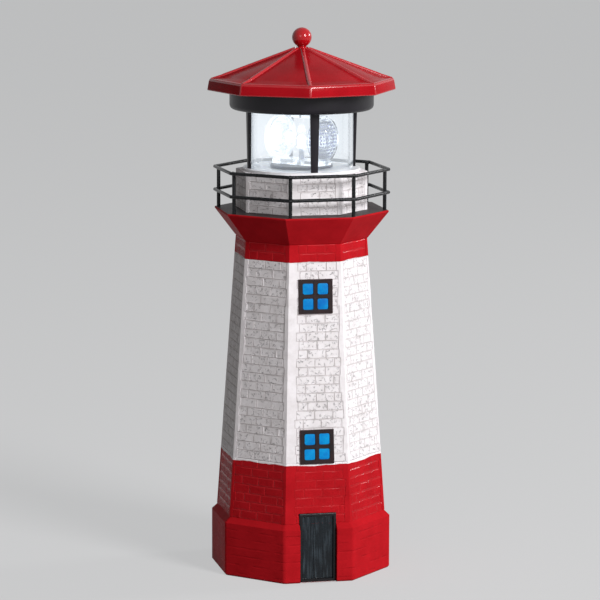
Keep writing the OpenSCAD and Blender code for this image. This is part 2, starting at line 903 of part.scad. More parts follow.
module along_lens_axis(side) {
    rotate([0, 0, lens_turn + (side < 0 ? 180 : 0)])
        translate([0, 0, lens_z])
            rotate([0, 90, 0])
                children();
}

module lens_frame() {
    frame_foot_z = turntable_z + turntable_t;
    rim_x = lens_face_x - lens_t - lens_ledge;
    rim_t = lens_t + lens_ledge + 0.2;
    bridge_boss_r = 3.6;
    bridge_w = 7;
    foot_w = 14;
    color([0.9, 0.95, 1, 0.5])
        difference() {
            union() {
                for (side = [-1, 1])
                    along_lens_axis(side)
                        translate([0, 0, rim_x])
                            cylinder(r = lens_rim_r, h = rim_t);
                // foot on the turntable and bridge over the lamp
                rotate(lens_turn) {
                    translate([-lens_face_x, -foot_w / 2, frame_foot_z])
                        cube([2 * lens_face_x, foot_w, frame_foot_t]);
                    translate([-lens_face_x, -bridge_w / 2, bridge_z])
                        cube([2 * lens_face_x, bridge_w, bridge_t]);
                }
                translate([0, 0, bridge_z])
                    cylinder(r = bridge_boss_r, h = bridge_t + 1.2);
            }
            for (side = [-1, 1])
                along_lens_axis(side) {
                    translate([0, 0, rim_x - 10])
                        cylinder(r = lens_r - lens_ledge, h = 20);
                    translate([0, 0, lens_face_x - lens_t])
                        cylinder(r = lens_r + pin_gap / 2, h = 20);
                }
            cylinder(d = hub_bore + 3, h = lens_z);
            translate([0, 0, bridge_z - 1])
                cylinder(d = pivot_d + press_gap, h = 10);
        }
}

// Bull's-eye lens: a cone that gathers the light behind a face of ring prisms
module lens(side) {
    cone_foot_x = 7;
    cone_foot_r = 3.4;
    rings = 3;
    step_h = 0.6;
    eye_h = 0.9;
    eye_r = lens_r * 0.34;
    ring_w = (lens_r - 1 - eye_r) / rings;
    color([0.9, 0.97, 1, 0.45])
        along_lens_axis(side)
            rotate_extrude()
                polygon(concat(
                    [[0, cone_foot_x], [cone_foot_r, cone_foot_x], [lens_r - 0.9, lens_face_x - lens_t]],
                    [[lens_r, lens_face_x - lens_t], [lens_r, lens_face_x]],
                    [for (i = [rings - 1 : -1 : 0], edge = [1, 0])
                        [eye_r + ring_w * (i + edge), lens_face_x + (edge == 1 ? 0 : step_h)]],
                    [for (i = [1:5]) [eye_r * (1 - i / 5), lens_face_x + step_h + eye_h * sin(90 * i / 5)]]
                ));
}

module lens_left() {
    lens(-1);
}

module lens_right() {
    lens(1);
}

pivot_in = 1.6;                          // the pin's end above the cage plate

module pivot_pin() {
    color("#303236")
        translate([0, 0, bridge_z])
            cylinder(d = pivot_d, h = plate_z + cage_t + pivot_in - bridge_z);
}

module lamp_stem() {
    color("#18181c")
        translate([0, 0, gear_plate_z])
            cylinder(d = stem_d, h = lamp_foot_z - gear_plate_z);
}

module lamp() {
    color("#f4f8ff") {
        translate([0, 0, lamp_foot_z])
            cylinder(d = lamp_d + 0.8, h = lamp_collar_h);
        translate([0, 0, lamp_foot_z + lamp_collar_h])
            cylinder(d = lamp_d, h = lens_z - lamp_foot_z - lamp_collar_h);
        translate([0, 0, lens_z])
            sphere(d = lamp_d);
    }
}

// ---------- gear drive under the floor ----------

module gear_plate() {
    color("#c9c6bd")
        difference() {
            translate([0, 0, gear_plate_z])
                linear_extrude(height = gear_plate_t)
                    union() {
                        for (p = plate_posts)
                            hull() {
                                translate(p)
                                    circle(d = plate_arm_d, $fn = 32);
                                circle(r = plate_hub_r, $fn = 32);
                            }
                        hull() {
                            translate(idler_pos)
                                circle(r = 2 * axle_d, $fn = 32);
                            translate(motor_pos)
                                circle(d = motor_d + 1, $fn = 32);
                            translate(plate_posts[0])
                                circle(d = plate_arm_d, $fn = 32);
                            circle(r = plate_hub_r, $fn = 32);
                        }
                    }
            for (p = plate_posts)
                translate([p[0], p[1], 0])
                    cylinder(d = plate_screw_d + screw_gap, h = floor_z);
            cylinder(d = stem_d + press_gap, h = floor_z);
            translate([idler_pos[0], idler_pos[1], 0])
                cylinder(d = axle_d + press_gap, h = floor_z);
            translate([motor_pos[0], motor_pos[1], 0]) {
                cylinder(d = motor_boss_d + pin_gap, h = floor_z);
                for (x = [-1, 1])
                    translate([x * motor_screw_x, 0, 0])
                        cylinder(d = motor_screw_d + screw_gap + 0.1, h = floor_z);
            }
        }
}
plate_arm_d = plate_post_d + 1.6;
plate_hub_r = 6;
motor_tab = [0.6, 2, 2];                 // terminals under the motor
motor_boss_d = 4.6;
motor_screw_x = 4.4;
motor_screw_len = 3;
motor_screw_d = plate_screw_d - 0.2;
motor_head_d = 3;
motor_head_h = 0.8;
motor_tab_x = 4;

module drive_screws() {
    head_top_z = gear_plate_z + gear_plate_t + motor_head_h;
    color("silver") {
        for (p = plate_posts)
            translate([p[0], p[1], gear_plate_z - 1])
                screw(gear_plate_t + plate_screw_len, plate_screw_d, plate_screw_head_d, 1);
        for (x = [-1, 1])
            translate([motor_pos[0] + x * motor_screw_x, motor_pos[1], head_top_z])
                rotate([180, 0, 0])
                    screw(motor_screw_len + motor_head_h, motor_screw_d, motor_head_d, motor_head_h);
    }
}

module idler_axle() {
    color("silver")
        translate([idler_pos[0], idler_pos[1], gear_plate_z])
            cylinder(d = axle_d, h = bush_foot_z + axle_seat_h - gear_plate_z);
}

module motor() {
    color("#b9bcc0")
        translate([motor_pos[0], motor_pos[1], gear_plate_z]) {
            difference() {
                union() {
                    intersection() {
                        translate([0, 0, -motor_len])
                            cylinder(d = motor_d, h = motor_len);
                        translate([0, 0, -motor_len / 2])
                            cube([motor_d + 2, motor_flat, motor_len + 2], center = true);
                    }
                    cylinder(d = motor_boss_d, h = 1);
                    for (x = [-1, 1])
                        translate([x * motor_tab_x, 0, 0.25 - motor_len - motor_tab[2] / 2])
                            cube(motor_tab + [0, 0, 0.5], center = true);
                }
                translate([0, 0, -motor_len + 2])
                    cylinder(d = shaft_d + 2 * run_fit, h = motor_len + 4);
                for (x = [-1, 1])
                    translate([x * motor_screw_x, 0, -motor_screw_len])
                        cylinder(d = motor_screw_d + 2 * pin_gap, h = motor_screw_len + 2);
            }
        }
}

pinion_z = idler_large_z - 0.4;
pinion_t = idler_large_t + 0.8;

module motor_shaft() {
    color("silver")
        translate([motor_pos[0], motor_pos[1], gear_plate_z - motor_len + 2.2])
            cylinder(d = shaft_d, h = pinion_z + pinion_t + 0.2 - (gear_plate_z - motor_len + 2.2));
}

module motor_pinion() {
    color("#c08f3a")
        translate([motor_pos[0], motor_pos[1], pinion_z])
            difference() {
                rotate(motor_dir + 180 + 180 / pinion_teeth)
                    linear_extrude(height = pinion_t)
                        gear_outline(gear_m, pinion_teeth, shift_pinion);
                translate([0, 0, -1])
                    cylinder(d = shaft_d + press_gap, h = pinion_t + 2);
            }
}

module idler_gear() {
    small_z = drive_gear_z - 0.4;
    small_t = drive_gear_t + 0.8;
    color("#f1f1ea")
        translate([idler_pos[0], idler_pos[1], 0])
            difference() {
                union() {
                    translate([0, 0, idler_large_z])
                        rotate(motor_dir)
                            linear_extrude(height = idler_large_t)
                                gear_outline(gear_m, idler_large_teeth, -shift_pinion);
                    translate([0, 0, idler_large_z])
                        cylinder(d = 3 * axle_d, h = small_z - idler_large_z + 0.2);
                    translate([0, 0, small_z])
                        rotate(idler_dir + 180 + 180 / idler_small_teeth)
                            linear_extrude(height = small_t)
                                gear_outline(gear_m, idler_small_teeth, shift_idler);
                }
                translate([0, 0, idler_large_z - 1])
                    cylinder(d = axle_d + 2 * run_fit, h = 20);
            }
}

// ---------- power, below the drive ----------

module door_outline(grow = 0) {
    translate([0, cell_y])
        square([box_len + 2 * grow, box_w + 2 * grow], center = true);
    translate([-door_tab_w / 2 - grow, cell_y + box_w / 2 - 1])
        square([door_tab_w + 2 * grow, door_tab + 1 + grow]);
}
door_tab = 7;
door_tab_w = 10;
rib_w = 1.6;                             // ribs on the door that carry the cell
rib_len = 10;
spring_r = 5;
door_screw_pos = [0, cell_y + box_w / 2 + door_tab - 3];

cover_lip = [1.2, 2];                    // wall and height of the lip inside the skirt
door_boss = [4.6, 6.5];                  // diameter and height of the screw's boss
board_post_d = 2.6;
board_post_x = board_pos[0] + board_size[0] / 2 - 2;
board_post_y = board_size[1] / 2 - 2.5;
button_d = 5.5;
button_h = 1.2;
contact_w = 9;
contact_sheet = 0.5;

// Way of the switch knob
module knob_slot(foot_z, h) {
    slot = [switch_travel + knob_w + 2 * knob_gap, knob_w + 2 * knob_gap, h];
    translate([switch_pos[0] - slot[0] / 2, switch_pos[1] - slot[1] / 2, foot_z])
        cube(slot);
}

module bottom_cover() {
    color("#2a2b2f")
        difference() {
            union() {
                translate([0, 0, cover_z])
                    cylinder(r = skirt_r, h = cover_t);
                translate([0, 0, skirt_z])
                    difference() {
                        tube(skirt_in_r - seat_fit, skirt_in_r - seat_fit - cover_lip[0], cover_lip[1]);
                        for (a = cover_boss_dirs)
                            rotate(a)
                                translate([cover_boss_r, 0, -1])
                                    cylinder(d = boss_d + 4 * seat_fit, h = cover_lip[1] + 3);
                    }
                // battery box
                translate([-box_len / 2 - box_wall, cell_y - box_w / 2 - box_wall, cover_z + 1])
                    cube([box_len + 2 * box_wall, box_w + 2 * box_wall, box_top_z + box_wall - cover_z - 1]);
                translate([door_screw_pos[0], door_screw_pos[1], skirt_z - 0.5])
                    cylinder(d = door_boss[0], h = door_boss[1]);
                for (y = [-1, 1])
                    translate([board_post_x, board_pos[1] + board_post_y * y, skirt_z - 0.5])
                        cylinder(d = board_post_d, h = board_z - skirt_z + 0.5);
            }
            translate([-box_len / 2, cell_y - box_w / 2, cover_z - 1])
                cube([box_len, box_w, box_top_z - cover_z + 1]);
            translate([0, 0, cover_z - 1])
                linear_extrude(height = 1 + door_t)
                    door_outline(seat_fit);
            translate([door_screw_pos[0], door_screw_pos[1], cover_z])
                cylinder(d = plate_screw_d + pin_gap, h = door_screw_len + 0.5);
            for (a = cover_boss_dirs)
                rotate(a)
                    translate([cover_boss_r, 0, cover_z - 1]) {
                        cylinder(d = screw_d + screw_gap, h = 6);
                        cylinder(d = screw_head_d + screw_gap, h = 1 + screw_head_h);
                    }
            // slot for the switch knob
            knob_slot(cover_z - 1, cover_t + 2);
        }
}

module cover_screws() {
    color("silver")
        for (a = cover_boss_dirs)
            rotate(a)
                translate([cover_boss_r, 0, cover_z])
                    screw(cover_t + cover_screw_len - 2);
}

module battery() {
    color("#3d7f46")
        translate([-cell_len / 2, cell_y, cell_z])
            rotate([0, 90, 0]) {
                cylinder(d = cell_d, h = cell_len - button_h);
                cylinder(d = button_d, h = cell_len);
            }
}

module contact_plate() {
    color("silver")
        translate([cell_len / 2 + 0.05, cell_y - contact_w / 2, cell_z - cell_d / 2 + 1])
            difference() {
                cube([contact_room - 0.1, contact_w, cell_d - 2]);
                translate([contact_sheet, 1, -1])
                    cube([contact_room, contact_w - 2, cell_d - 2]);
            }
}

module contact_spring() {
    color("silver")
        translate([-cell_len / 2 - contact_room + 0.05, cell_y, cell_z])
            rotate([0, 90, 0]) {
                cylinder(r = spring_r, h = contact_sheet);
                cylinder(r1 = spring_r - 0.4, r2 = spring_r / 2, h = contact_room - 0.1);
            }
}

module battery_door() {
    color("#2a2b2f")
        difference() {
            union() {
                translate([0, 0, cover_z])
                    linear_extrude(height = door_t)
                        door_outline();
                // ribs that carry the cell
                for (x = [-1, 1])
                    translate([x * cell_len / 4 - rib_w / 2, cell_y - rib_len / 2, cover_z])
                        cube([rib_w, rib_len, cell_z - cover_z]);
            }
            translate([-cell_len / 2 - 1, cell_y, cell_z])
                rotate([0, 90, 0])
                    cylinder(d = cell_d + pin_gap, h = cell_len + 2);
            translate([door_screw_pos[0], door_screw_pos[1], cover_z - 1]) {
                cylinder(d = plate_screw_d + screw_gap, h = door_screw_len);
                cylinder(d = plate_screw_head_d + screw_gap, h = 1 + plate_screw_head_h);
            }
        }
}

module door_screw() {
    color("silver")
        translate([door_screw_pos[0], door_screw_pos[1], cover_z])
            screw(door_screw_len, plate_screw_d, plate_screw_head_d, plate_screw_head_h);
}

capacitor = [4, 5];                      // diameter, height
chip = [5, 3.6, 1.4];
coil = [3.4, 3.4, 2.6];

module circuit_board() {
    color("#1f6b3a")
        translate([board_pos[0], board_pos[1], board_z]) {
            translate([-board_size[0] / 2, -board_size[1] / 2, 0])
                cube(board_size);
            translate([-5, -4, board_size[2]])
                cylinder(d = capacitor[0], h = capacitor[1]);
            translate([-2, 2.5, board_size[2]])
                cube(chip);
            translate([2.5, -5.5, board_size[2]])
                cube(coil);
        }
}

module switch_body() {
    color("silver")
        difference() {
            translate([switch_pos[0] - switch_size[0] / 2, switch_pos[1] - switch_size[1] / 2, skirt_z])
                cube(switch_size);
            knob_slot(skirt_z - 1, 1 + knob_in + 0.4);
        }
}

module switch_slider() {
    knob_x = switch_pos[0] - (switch_travel + knob_w) / 2;
    color("#111111")
        translate([knob_x, switch_pos[1] - knob_w / 2, cover_z - knob_out])
            cube([knob_w, knob_w, knob_out + cover_t + knob_in]);
}

tower();
rail_posts();
rail_upper();
rail_lower();
lantern_base();
lantern_glass();
cage();
roof();
roof_screws();
finial();
solar_panel_left();
solar_panel_right();
solar_lead();
floor_bush();
pivot_bush();
gear_plate();
drive_screws();
idler_axle();
motor();
lamp_stem();
lamp();
bottom_cover();
cover_screws();
battery();
contact_plate();
contact_spring();
battery_door();
door_screw();
circuit_board();
switch_body();
turntable();
drive_gear();
lens_frame();
lens_left();
lens_right();
pivot_pin();
idler_gear();
motor_shaft();
motor_pinion();
switch_slider();
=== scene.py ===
import math
import random

import bmesh
import bpy
from mathutils import Matrix, Vector


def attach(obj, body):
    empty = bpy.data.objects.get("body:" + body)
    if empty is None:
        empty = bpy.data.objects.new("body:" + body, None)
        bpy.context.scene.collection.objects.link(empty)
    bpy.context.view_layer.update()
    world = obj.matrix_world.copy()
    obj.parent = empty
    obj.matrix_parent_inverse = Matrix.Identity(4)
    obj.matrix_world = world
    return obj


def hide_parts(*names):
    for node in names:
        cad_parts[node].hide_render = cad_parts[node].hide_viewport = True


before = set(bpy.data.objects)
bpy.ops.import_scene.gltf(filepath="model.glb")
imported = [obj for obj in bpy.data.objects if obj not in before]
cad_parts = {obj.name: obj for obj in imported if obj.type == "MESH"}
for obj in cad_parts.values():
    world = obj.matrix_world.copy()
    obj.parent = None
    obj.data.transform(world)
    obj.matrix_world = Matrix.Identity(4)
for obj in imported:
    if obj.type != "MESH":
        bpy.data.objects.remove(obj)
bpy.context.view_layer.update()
scene = bpy.context.scene
scene.view_settings.view_transform = "Standard"
mm = 0.001

# ---------- camera ----------
# The camera stands where the photograph was taken from, about 2 m away,
# a little above the roof, and looks slightly down on the ornament.
camera_place = Vector((-0.43235, -1.93771, 0.48437))
camera_heading = math.radians(-12.5592)
camera_pitch = math.radians(-8.8826)
camera_roll = math.radians(0.1791)
look = Vector((
    -math.sin(camera_heading) * math.cos(camera_pitch),
    math.cos(camera_heading) * math.cos(camera_pitch),
    math.sin(camera_pitch),
))
level_right = look.cross(Vector((0, 0, 1))).normalized()
level_up = level_right.cross(look)
right = level_right * math.cos(camera_roll) + level_up * math.sin(camera_roll)
up = level_up * math.cos(camera_roll) - level_right * math.sin(camera_roll)
camera_data = bpy.data.cameras.new("photo_camera")
camera_data.lens = 186.678
camera_data.sensor_width = 36
camera_data.clip_end = 100
camera = bpy.data.objects.new("photo_camera", camera_data)
camera.matrix_world = Matrix((
    (right.x, up.x, -look.x, camera_place.x),
    (right.y, up.y, -look.y, camera_place.y),
    (right.z, up.z, -look.z, camera_place.z),
    (0, 0, 0, 1),
))
scene.collection.objects.link(camera)
scene.camera = camera

# ---------- studio ----------
# A pale floor, a large soft lamp at the right front, a weak one at the left
# and one at the right. What the camera, the gloss and the clear plastic see of
# the room is a plain pale grey, while the light that bounces off it stays weak.


def colour(red, green, blue):
    """A colour as a paint chart gives it, 0 to 255, for a shader."""
    linear = []
    for part in (red, green, blue):
        part /= 255
        linear.append(part / 12.92 if part <= 0.04045 else ((part + 0.055) / 1.055) ** 2.4)
    return (*linear, 1)


def soft_lamp(name, place, size, watts, tint):
    """A round soft lamp that is turned to the middle of the ornament."""
    data = bpy.data.lights.new(name, "AREA")
    data.shape = "DISK"
    data.size = size
    data.energy = watts
    data.color = tint
    lamp = bpy.data.objects.new(name, data)
    lamp.location = place
    lamp.rotation_euler = (Vector((0, 0, 0.17)) - Vector(place)).to_track_quat("-Z", "Y").to_euler()
    scene.collection.objects.link(lamp)


def feed(tree, node, sockets):
    """Gives a node's sockets a value of their own, or another node's output."""
    for name, value in sockets.items():
        if isinstance(value, bpy.types.NodeSocket):
            tree.links.new(value, node.inputs[name])
        else:
            node.inputs[name].default_value = value


def add(tree, kind, output, sockets, **settings):
    """A new shader node, set and fed: the one of its outputs that is named."""
    node = tree.nodes.new("ShaderNode" + kind)
    for name, value in settings.items():
        setattr(node, name, value)
    feed(tree, node, sockets)
    return node.outputs[output] if output else node


def calc(tree, operation, *values):
    """A sum, product or comparison of numbers and outputs."""
    return add(tree, "Math", "Value", dict(enumerate(values)), operation=operation)


def looking_rays(tree):
    """1 for the rays of the camera, of gloss and of clear plastic, else 0."""
    seen_by = add(tree, "LightPath", "Is Camera Ray", {})
    for kind in ("Is Glossy Ray", "Is Transmission Ray"):
        seen_by = calc(tree, "MAXIMUM", seen_by, add(tree, "LightPath", kind, {}))
    return seen_by


soft_lamp("key_lamp", (1.15, -2.0, 1.35), 0.9, 69, (1, 0.985, 0.995))
soft_lamp("fill_lamp", (-1.4, -2.6, 1.2), 1.4, 8.5, (1, 0.97, 0.95))
soft_lamp("side_lamp", (2.35, 0.35, 0.95), 0.6, 22, (1, 0.985, 1))

world = bpy.data.worlds.new("studio")
scene.world = world
world.use_nodes = True
tree = world.node_tree
tree.nodes.clear()
bounced = add(tree, "Background", "Background", {"Color": (1, 0.93, 0.88, 1), "Strength": 0.07})
seen = add(tree, "Background", "Background", {"Color": (0.62, 0.63, 0.64, 1), "Strength": 1})
room = add(tree, "MixShader", "Shader", {0: looking_rays(tree), 1: bounced, 2: seen})
add(tree, "OutputWorld", None, {"Surface": room})

bm = bmesh.new()
bmesh.ops.create_grid(bm, x_segments=1, y_segments=1, size=30)
mesh = bpy.data.meshes.new("floor")
bm.to_mesh(mesh)
bm.free()
floor = bpy.data.objects.new("floor", mesh)
scene.collection.objects.link(floor)
pale_floor = bpy.data.materials.new("pale_floor")
pale_floor.use_nodes = True
tree = pale_floor.node_tree
tree.nodes.clear()
matt = add(tree, "BsdfDiffuse", "BSDF", {"Color": (0.34, 0.34, 0.34, 1)})
pale = add(tree, "Emission", "Emission", {"Color": (0.99, 1, 1.01, 1)})
share = calc(tree, "MULTIPLY", looking_rays(tree), 0.5)
both = add(tree, "MixShader", "Shader", {0: share, 1: matt, 2: pale})
add(tree, "OutputMaterial", None, {"Surface": both})
mesh.materials.append(pale_floor)

# ---------- tower: red foot ----------
# The tower is one resin casting, painted by hand. Its foot is a plinth under
# the first courses of moulded bricks, all in red, with the doorway cut in.
plinth_r = 59 * mm
plinth_h = 34.5 * mm
foot_inner_r = 50.87 * mm
shaft_foot = (55.5 * mm, 38 * mm)        # corner radius and height
shaft_head = (43 * mm, 215.5 * mm)
course_h = 177.5 * mm / 32
brick_len = 12.2 * mm
red_joint = (0.22 * mm, 0.1 * mm, 0.19 * mm)   # half a joint's width, its depth, a brick's swell
strip_w = 2.4 * mm                       # smooth strip beside each corner
door_w = 24 * mm
door_h = 44.7 * mm
doorway_back = -50.6 * mm
door_sides = (((-door_w / 2, 0, 0), (1, 0, 0)), ((door_w / 2, 0, 0), (1, 0, 0)))   # places and directions
corner_turn = math.pi / 8
flat_of_corner = math.cos(corner_turn)
dice = random.Random(7)


def shaft_r(z):
    """The shaft's corner radius at a height."""
    share = (z - shaft_foot[1]) / (shaft_head[1] - shaft_foot[1])
    return shaft_foot[0] + (shaft_head[0] - shaft_foot[0]) * share


def finish_mesh(bm, name, materials, body, smooth=None):
    """The bmesh as an object at the origin that rides on a body."""
    mesh = bpy.data.meshes.new(name)
    bm.to_mesh(mesh)
    bm.free()
    piece = bpy.data.objects.new(name, mesh)
    scene.collection.objects.link(piece)
    for material in materials:
        mesh.materials.append(material)
    if smooth is not None:
        mesh.shade_smooth()
        mesh.set_sharp_from_angle(angle=math.radians(smooth))
    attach(piece, body)
    return piece


def mid(face):
    """The middle of a face."""
    return face.calc_center_median()


def edges_at(verts):
    """The edges that meet those vertices."""
    return list(dict.fromkeys(edge for vert in verts for edge in vert.link_edges))


def at_height(z, turn=0.0):
    """The place of a ring round the axis at a height."""
    return Matrix.Translation((0, 0, z)) @ Matrix.Rotation(turn, 4, "Z")


def octagon_wall(bm, rings, turn=corner_turn):
    """Eight-sided walls through rings of [corner radius, height], open at both ends."""
    for (low_r, low_z), (high_r, high_z) in zip(rings, rings[1:]):
        if high_z == low_z:
            inner, outer = sorted((low_r, high_r))
            made = bmesh.ops.create_circle(bm, cap_ends=False, segments=8, radius=outer,
                                           matrix=at_height(low_z, turn))
            rim = bmesh.ops.extrude_edge_only(bm, edges=edges_at(made["verts"]))["geom"]
            verts = [g for g in rim if isinstance(g, bmesh.types.BMVert)]
            bmesh.ops.scale(bm, vec=(inner / outer, inner / outer, 1), verts=verts)
        else:
            bmesh.ops.create_cone(bm, cap_ends=False, segments=8, radius1=low_r, radius2=high_r,
                                  depth=high_z - low_z, matrix=at_height((low_z + high_z) / 2, turn))
    bmesh.ops.remove_doubles(bm, verts=bm.verts, dist=0.02 * mm)


def slice_faces(bm, faces, place, across):
    """Cuts faces along a plane, and gives the faces that they are now."""
    parts = dict.fromkeys(faces)
    for face in faces:
        parts.update(dict.fromkeys([*face.edges, *face.verts]))
    cut = bmesh.ops.bisect_plane(bm, geom=list(parts), dist=1e-6, plane_co=place, plane_no=across)
    return [g for g in cut["geom"] if isinstance(g, bmesh.types.BMFace)]


def soften(bm, edges, width, segments):
    """Rounds edges off, and gives the new faces."""
    return bmesh.ops.bevel(bm, geom=edges, affect="EDGES", offset=width, segments=segments,
                           profile=0.5, material=-1)["faces"]


def lay_bricks(bm, radius_at, foot_z, courses, height, joint, uneven, first=0):
    """Courses of bricks round an eight-sided wall that is already in bm between
    those heights: joints are cut, then each brick is raised out of the wall. joint
    is half a joint's width, its depth, and how far a brick swells out of it; uneven
    is how far the faces differ."""
    wall = [face for face in bm.faces if foot_z < mid(face).z < foot_z + courses * height]
    for course in range(1, courses):
        wall = slice_faces(bm, wall, (0, 0, foot_z + course * height), (0, 0, 1))
    bricks, strips = [], []
    for course in range(courses):
        z = foot_z + (course + 0.5) * height
        row = [face for face in wall if abs(mid(face).z - z) < height / 2]
        half_w = radius_at(z) * math.sin(corner_turn) - strip_w
        for side in range(8):
            outward = Vector((math.cos(side * math.pi / 4), math.sin(side * math.pi / 4), 0))
            along = Vector((-outward.y, outward.x, 0))
            faces = [face for face in row
                     if Vector((face.normal.x, face.normal.y, 0)).normalized().dot(outward) > 0.95]
            ends = [half_w + dice.uniform(-1.3, 0.9) * mm for end in range(2)]
            if side == 6:
                ends[0] -= 3.6 * mm             # the front's left strip is the widest
            uprights = [-ends[0], ends[1]]
            half_brick = (course + first + side) % 2
            place = -ends[0] + brick_len * (0.5 if half_brick else 1) * dice.uniform(0.92, 1.08)
            while place < ends[1] - 3 * mm:
                uprights.append(place)
                place += brick_len * dice.uniform(0.94, 1.06)
            for upright in uprights:
                faces = slice_faces(bm, faces, along * upright, along)
            for face in faces:
                on_brick = -ends[0] < mid(face).dot(along) < ends[1]
                (bricks if on_brick else strips).append(face)
    joints = bmesh.ops.inset_individual(bm, faces=bricks, thickness=joint[0], depth=joint[1],
                                        use_even_offset=True)["faces"]
    for face in joints:
        face.material_index = 2
    for face in bricks:
        face.material_index = 1
    bmesh.ops.inset_region(bm, faces=strips, thickness=joint[0] * 0.5, depth=joint[1] + joint[2],
                           use_boundary=True, use_even_offset=False)
    # worn edges: every brick is a shallow cushion
    worn = bmesh.ops.inset_individual(bm, faces=bricks, thickness=0.5 * mm, depth=joint[2],
                                      use_even_offset=False)["faces"]
    for face in worn:
        face.material_index = 3
    # moulded by hand: no two bricks stand quite alike
    for face in bricks:
        outward = face.normal.copy()
        outward.z = 0
        sink = dice.uniform(0, uneven)
        for vert in face.verts:
            vert.co -= outward * (sink + dice.uniform(0, 0.8 * uneven))
            vert.co.z += dice.uniform(-0.8 * uneven, 0.8 * uneven)


def opened(material):
    """A material's node tree and its shader."""
    return material.node_tree, material.node_tree.nodes["Principled BSDF"]


def new_material(name):
    material = bpy.data.materials.new(name)
    material.use_nodes = True
    return material, *opened(material)


def fed(shader, name):
    """The output that a shader's socket takes now."""
    return shader.inputs[name].links[0].from_socket


def here(tree):
    """The place on the piece, in metres."""
    return add(tree, "TexCoord", "Object", {})


def noise(tree, grain, detail, roughness=0.5, place=None):
    """Cloudy noise in grains of that size."""
    return add(tree, "TexNoise", "Fac", {
        "Vector": here(tree) if place is None else place, "Scale": 1 / grain, "Detail": detail,
        "Roughness": roughness})


def ranged(tree, value, start, end, low=0.0, high=1.0, **settings):
    """What lies between start and end, brought to low and high."""
    return add(tree, "MapRange", "Result", {
        "Value": value, "From Min": start, "From Max": end, "To Min": low, "To Max": high}, **settings)


def ramp(tree, value, low, high):
    """From one colour to another, each given with its place on the ramp."""
    node = add(tree, "ValToRGB", None, {"Fac": value})
    for element, (position, tint) in zip(node.color_ramp.elements, (low, high)):
        element.position = position
        element.color = tint
    return node.outputs["Color"]


def mixed(tree, share, first, second, **settings):
    """The first colour, with the second over it by its share."""
    return add(tree, "Mix", "Result", {"Factor": share, "A": first, "B": second}, data_type="RGBA", **settings)


def bumped(tree, height, depth, strength=1.0, under=None, invert=False):
    """A surface in fine relief, on top of the relief under it."""
    sockets = {"Strength": strength, "Distance": depth, "Height": height}
    if under is not None:
        sockets["Normal"] = under
    return add(tree, "Bump", "Normal", sockets, invert=invert)


def paint(name, coat_colour, worn_colour, roughness, grain, relief, pits=0.0, border=None, gloss=0.5):
    """Brushed paint on resin: brush streaks, tool scars, uneven sheen.
    border is [height, colour below it, colour above it] where two coats meet."""
    material, tree, shader = new_material(name)
    coat = ramp(tree, noise(tree, grain * 9, 6, 0.65), (0.32, worn_colour), (0.62, coat_colour))
    fine = noise(tree, grain, 5)
    surface = bumped(tree, fine, relief, 0.6)
    if pits:
        # short curly scars of the sculptor's tool, darker than the coat around them:
        # stretches of a noise's middle line
        line = calc(tree, "COMPARE", noise(tree, 2.2 * mm, 1), 0.5, 0.036)
        stretch = ranged(tree, noise(tree, 1.9 * mm, 0), 0.53, 0.6, interpolation_type="SMOOTHSTEP")
        scar = calc(tree, "MULTIPLY", line, stretch)
        surface = bumped(tree, scar, pits, under=surface, invert=True)
        scar_darkening = ranged(tree, scar, 0, 1, 1, 1 - 0.45 * min(1, pits / mm))
        coat = mixed(tree, 1, coat, scar_darkening, blend_type="MULTIPLY")
    if border:
        # the brush's line between two coats wanders up and down
        z = add(tree, "SeparateXYZ", "Z", {"Vector": here(tree)})
        wander = calc(tree, "MULTIPLY_ADD", noise(tree, 16 * mm, 3), 2.6 * mm, z)
        over = ranged(tree, wander, border[0] + 1.3 * mm, border[0] + 1.5 * mm)
        coat = mixed(tree, over, border[1] or coat, border[2] or coat)
    feed(tree, shader, {
        "Base Color": coat, "Specular IOR Level": gloss, "Normal": surface,
        "Roughness": ranged(tree, fine, 0, 1, roughness * 0.75, min(1, roughness * 1.35))})
    return material


red = colour(184, 27, 35)
deep_red = colour(168, 23, 30)
worn_red = colour(186, 24, 32)
white = colour(243, 240, 242)
dull_white = colour(228, 224, 225)


def reds(ending, border):
    """The tower's reds, with a border to the white: smooth strips, bricks, worn edges."""
    return [
        paint(f"red_gloss{ending}", red, deep_red, 0.36, 1.6 * mm, 0.05 * mm, border=border, gloss=0.006),
        paint(f"red_brick{ending}", red, deep_red, 0.26, 1.6 * mm, 0.05 * mm, 0.06 * mm, border, gloss=0.01),
        paint(f"red_edge{ending}", worn_red, deep_red, 0.17, 1.6 * mm, 0.03 * mm, border=border, gloss=0.16),
    ]


white_from = shaft_foot[1] + 7 * course_h
red_from = shaft_foot[1] + 30 * course_h
red_sunk = (red_joint[1] + red_joint[2]) / flat_of_corner
bm = bmesh.new()
octagon_wall(bm, [
    (plinth_r - 1 * mm, 0), (plinth_r, 1 * mm), (plinth_r, plinth_h),
    (shaft_foot[0] - red_sunk, shaft_foot[1]),
    (shaft_r(white_from) - red_sunk, white_from),
])
lay_bricks(bm, shaft_r, shaft_foot[1], 7, course_h, red_joint, 0.1 * mm)
# the door panel stands in front of the lowest bricks, which are left out there
for place, across in (*door_sides, ((0, 0, door_h), (0, 0, 1))):
    front = [face for face in bm.faces if mid(face).y < -49 * mm and shaft_foot[1] < mid(face).z < 56 * mm]
    slice_faces(bm, front, place, across)
bmesh.ops.delete(bm, context="FACES", geom=[
    face for face in bm.faces if abs(mid(face).x) < door_w / 2 and mid(face).y < -49 * mm
    and shaft_foot[1] < mid(face).z < door_h])
# the plinth's corners are rounded by the casting and its paint
soften(bm, [edge for edge in bm.edges
            if edge.is_manifold and max(v.co.z for v in edge.verts) < shaft_foot[1] + 0.01 * mm
            and abs(edge.verts[0].co.z - edge.verts[1].co.z) > 0.5 * mm
            and edge.calc_face_angle(0) > 0.2], 1 * mm, 2)


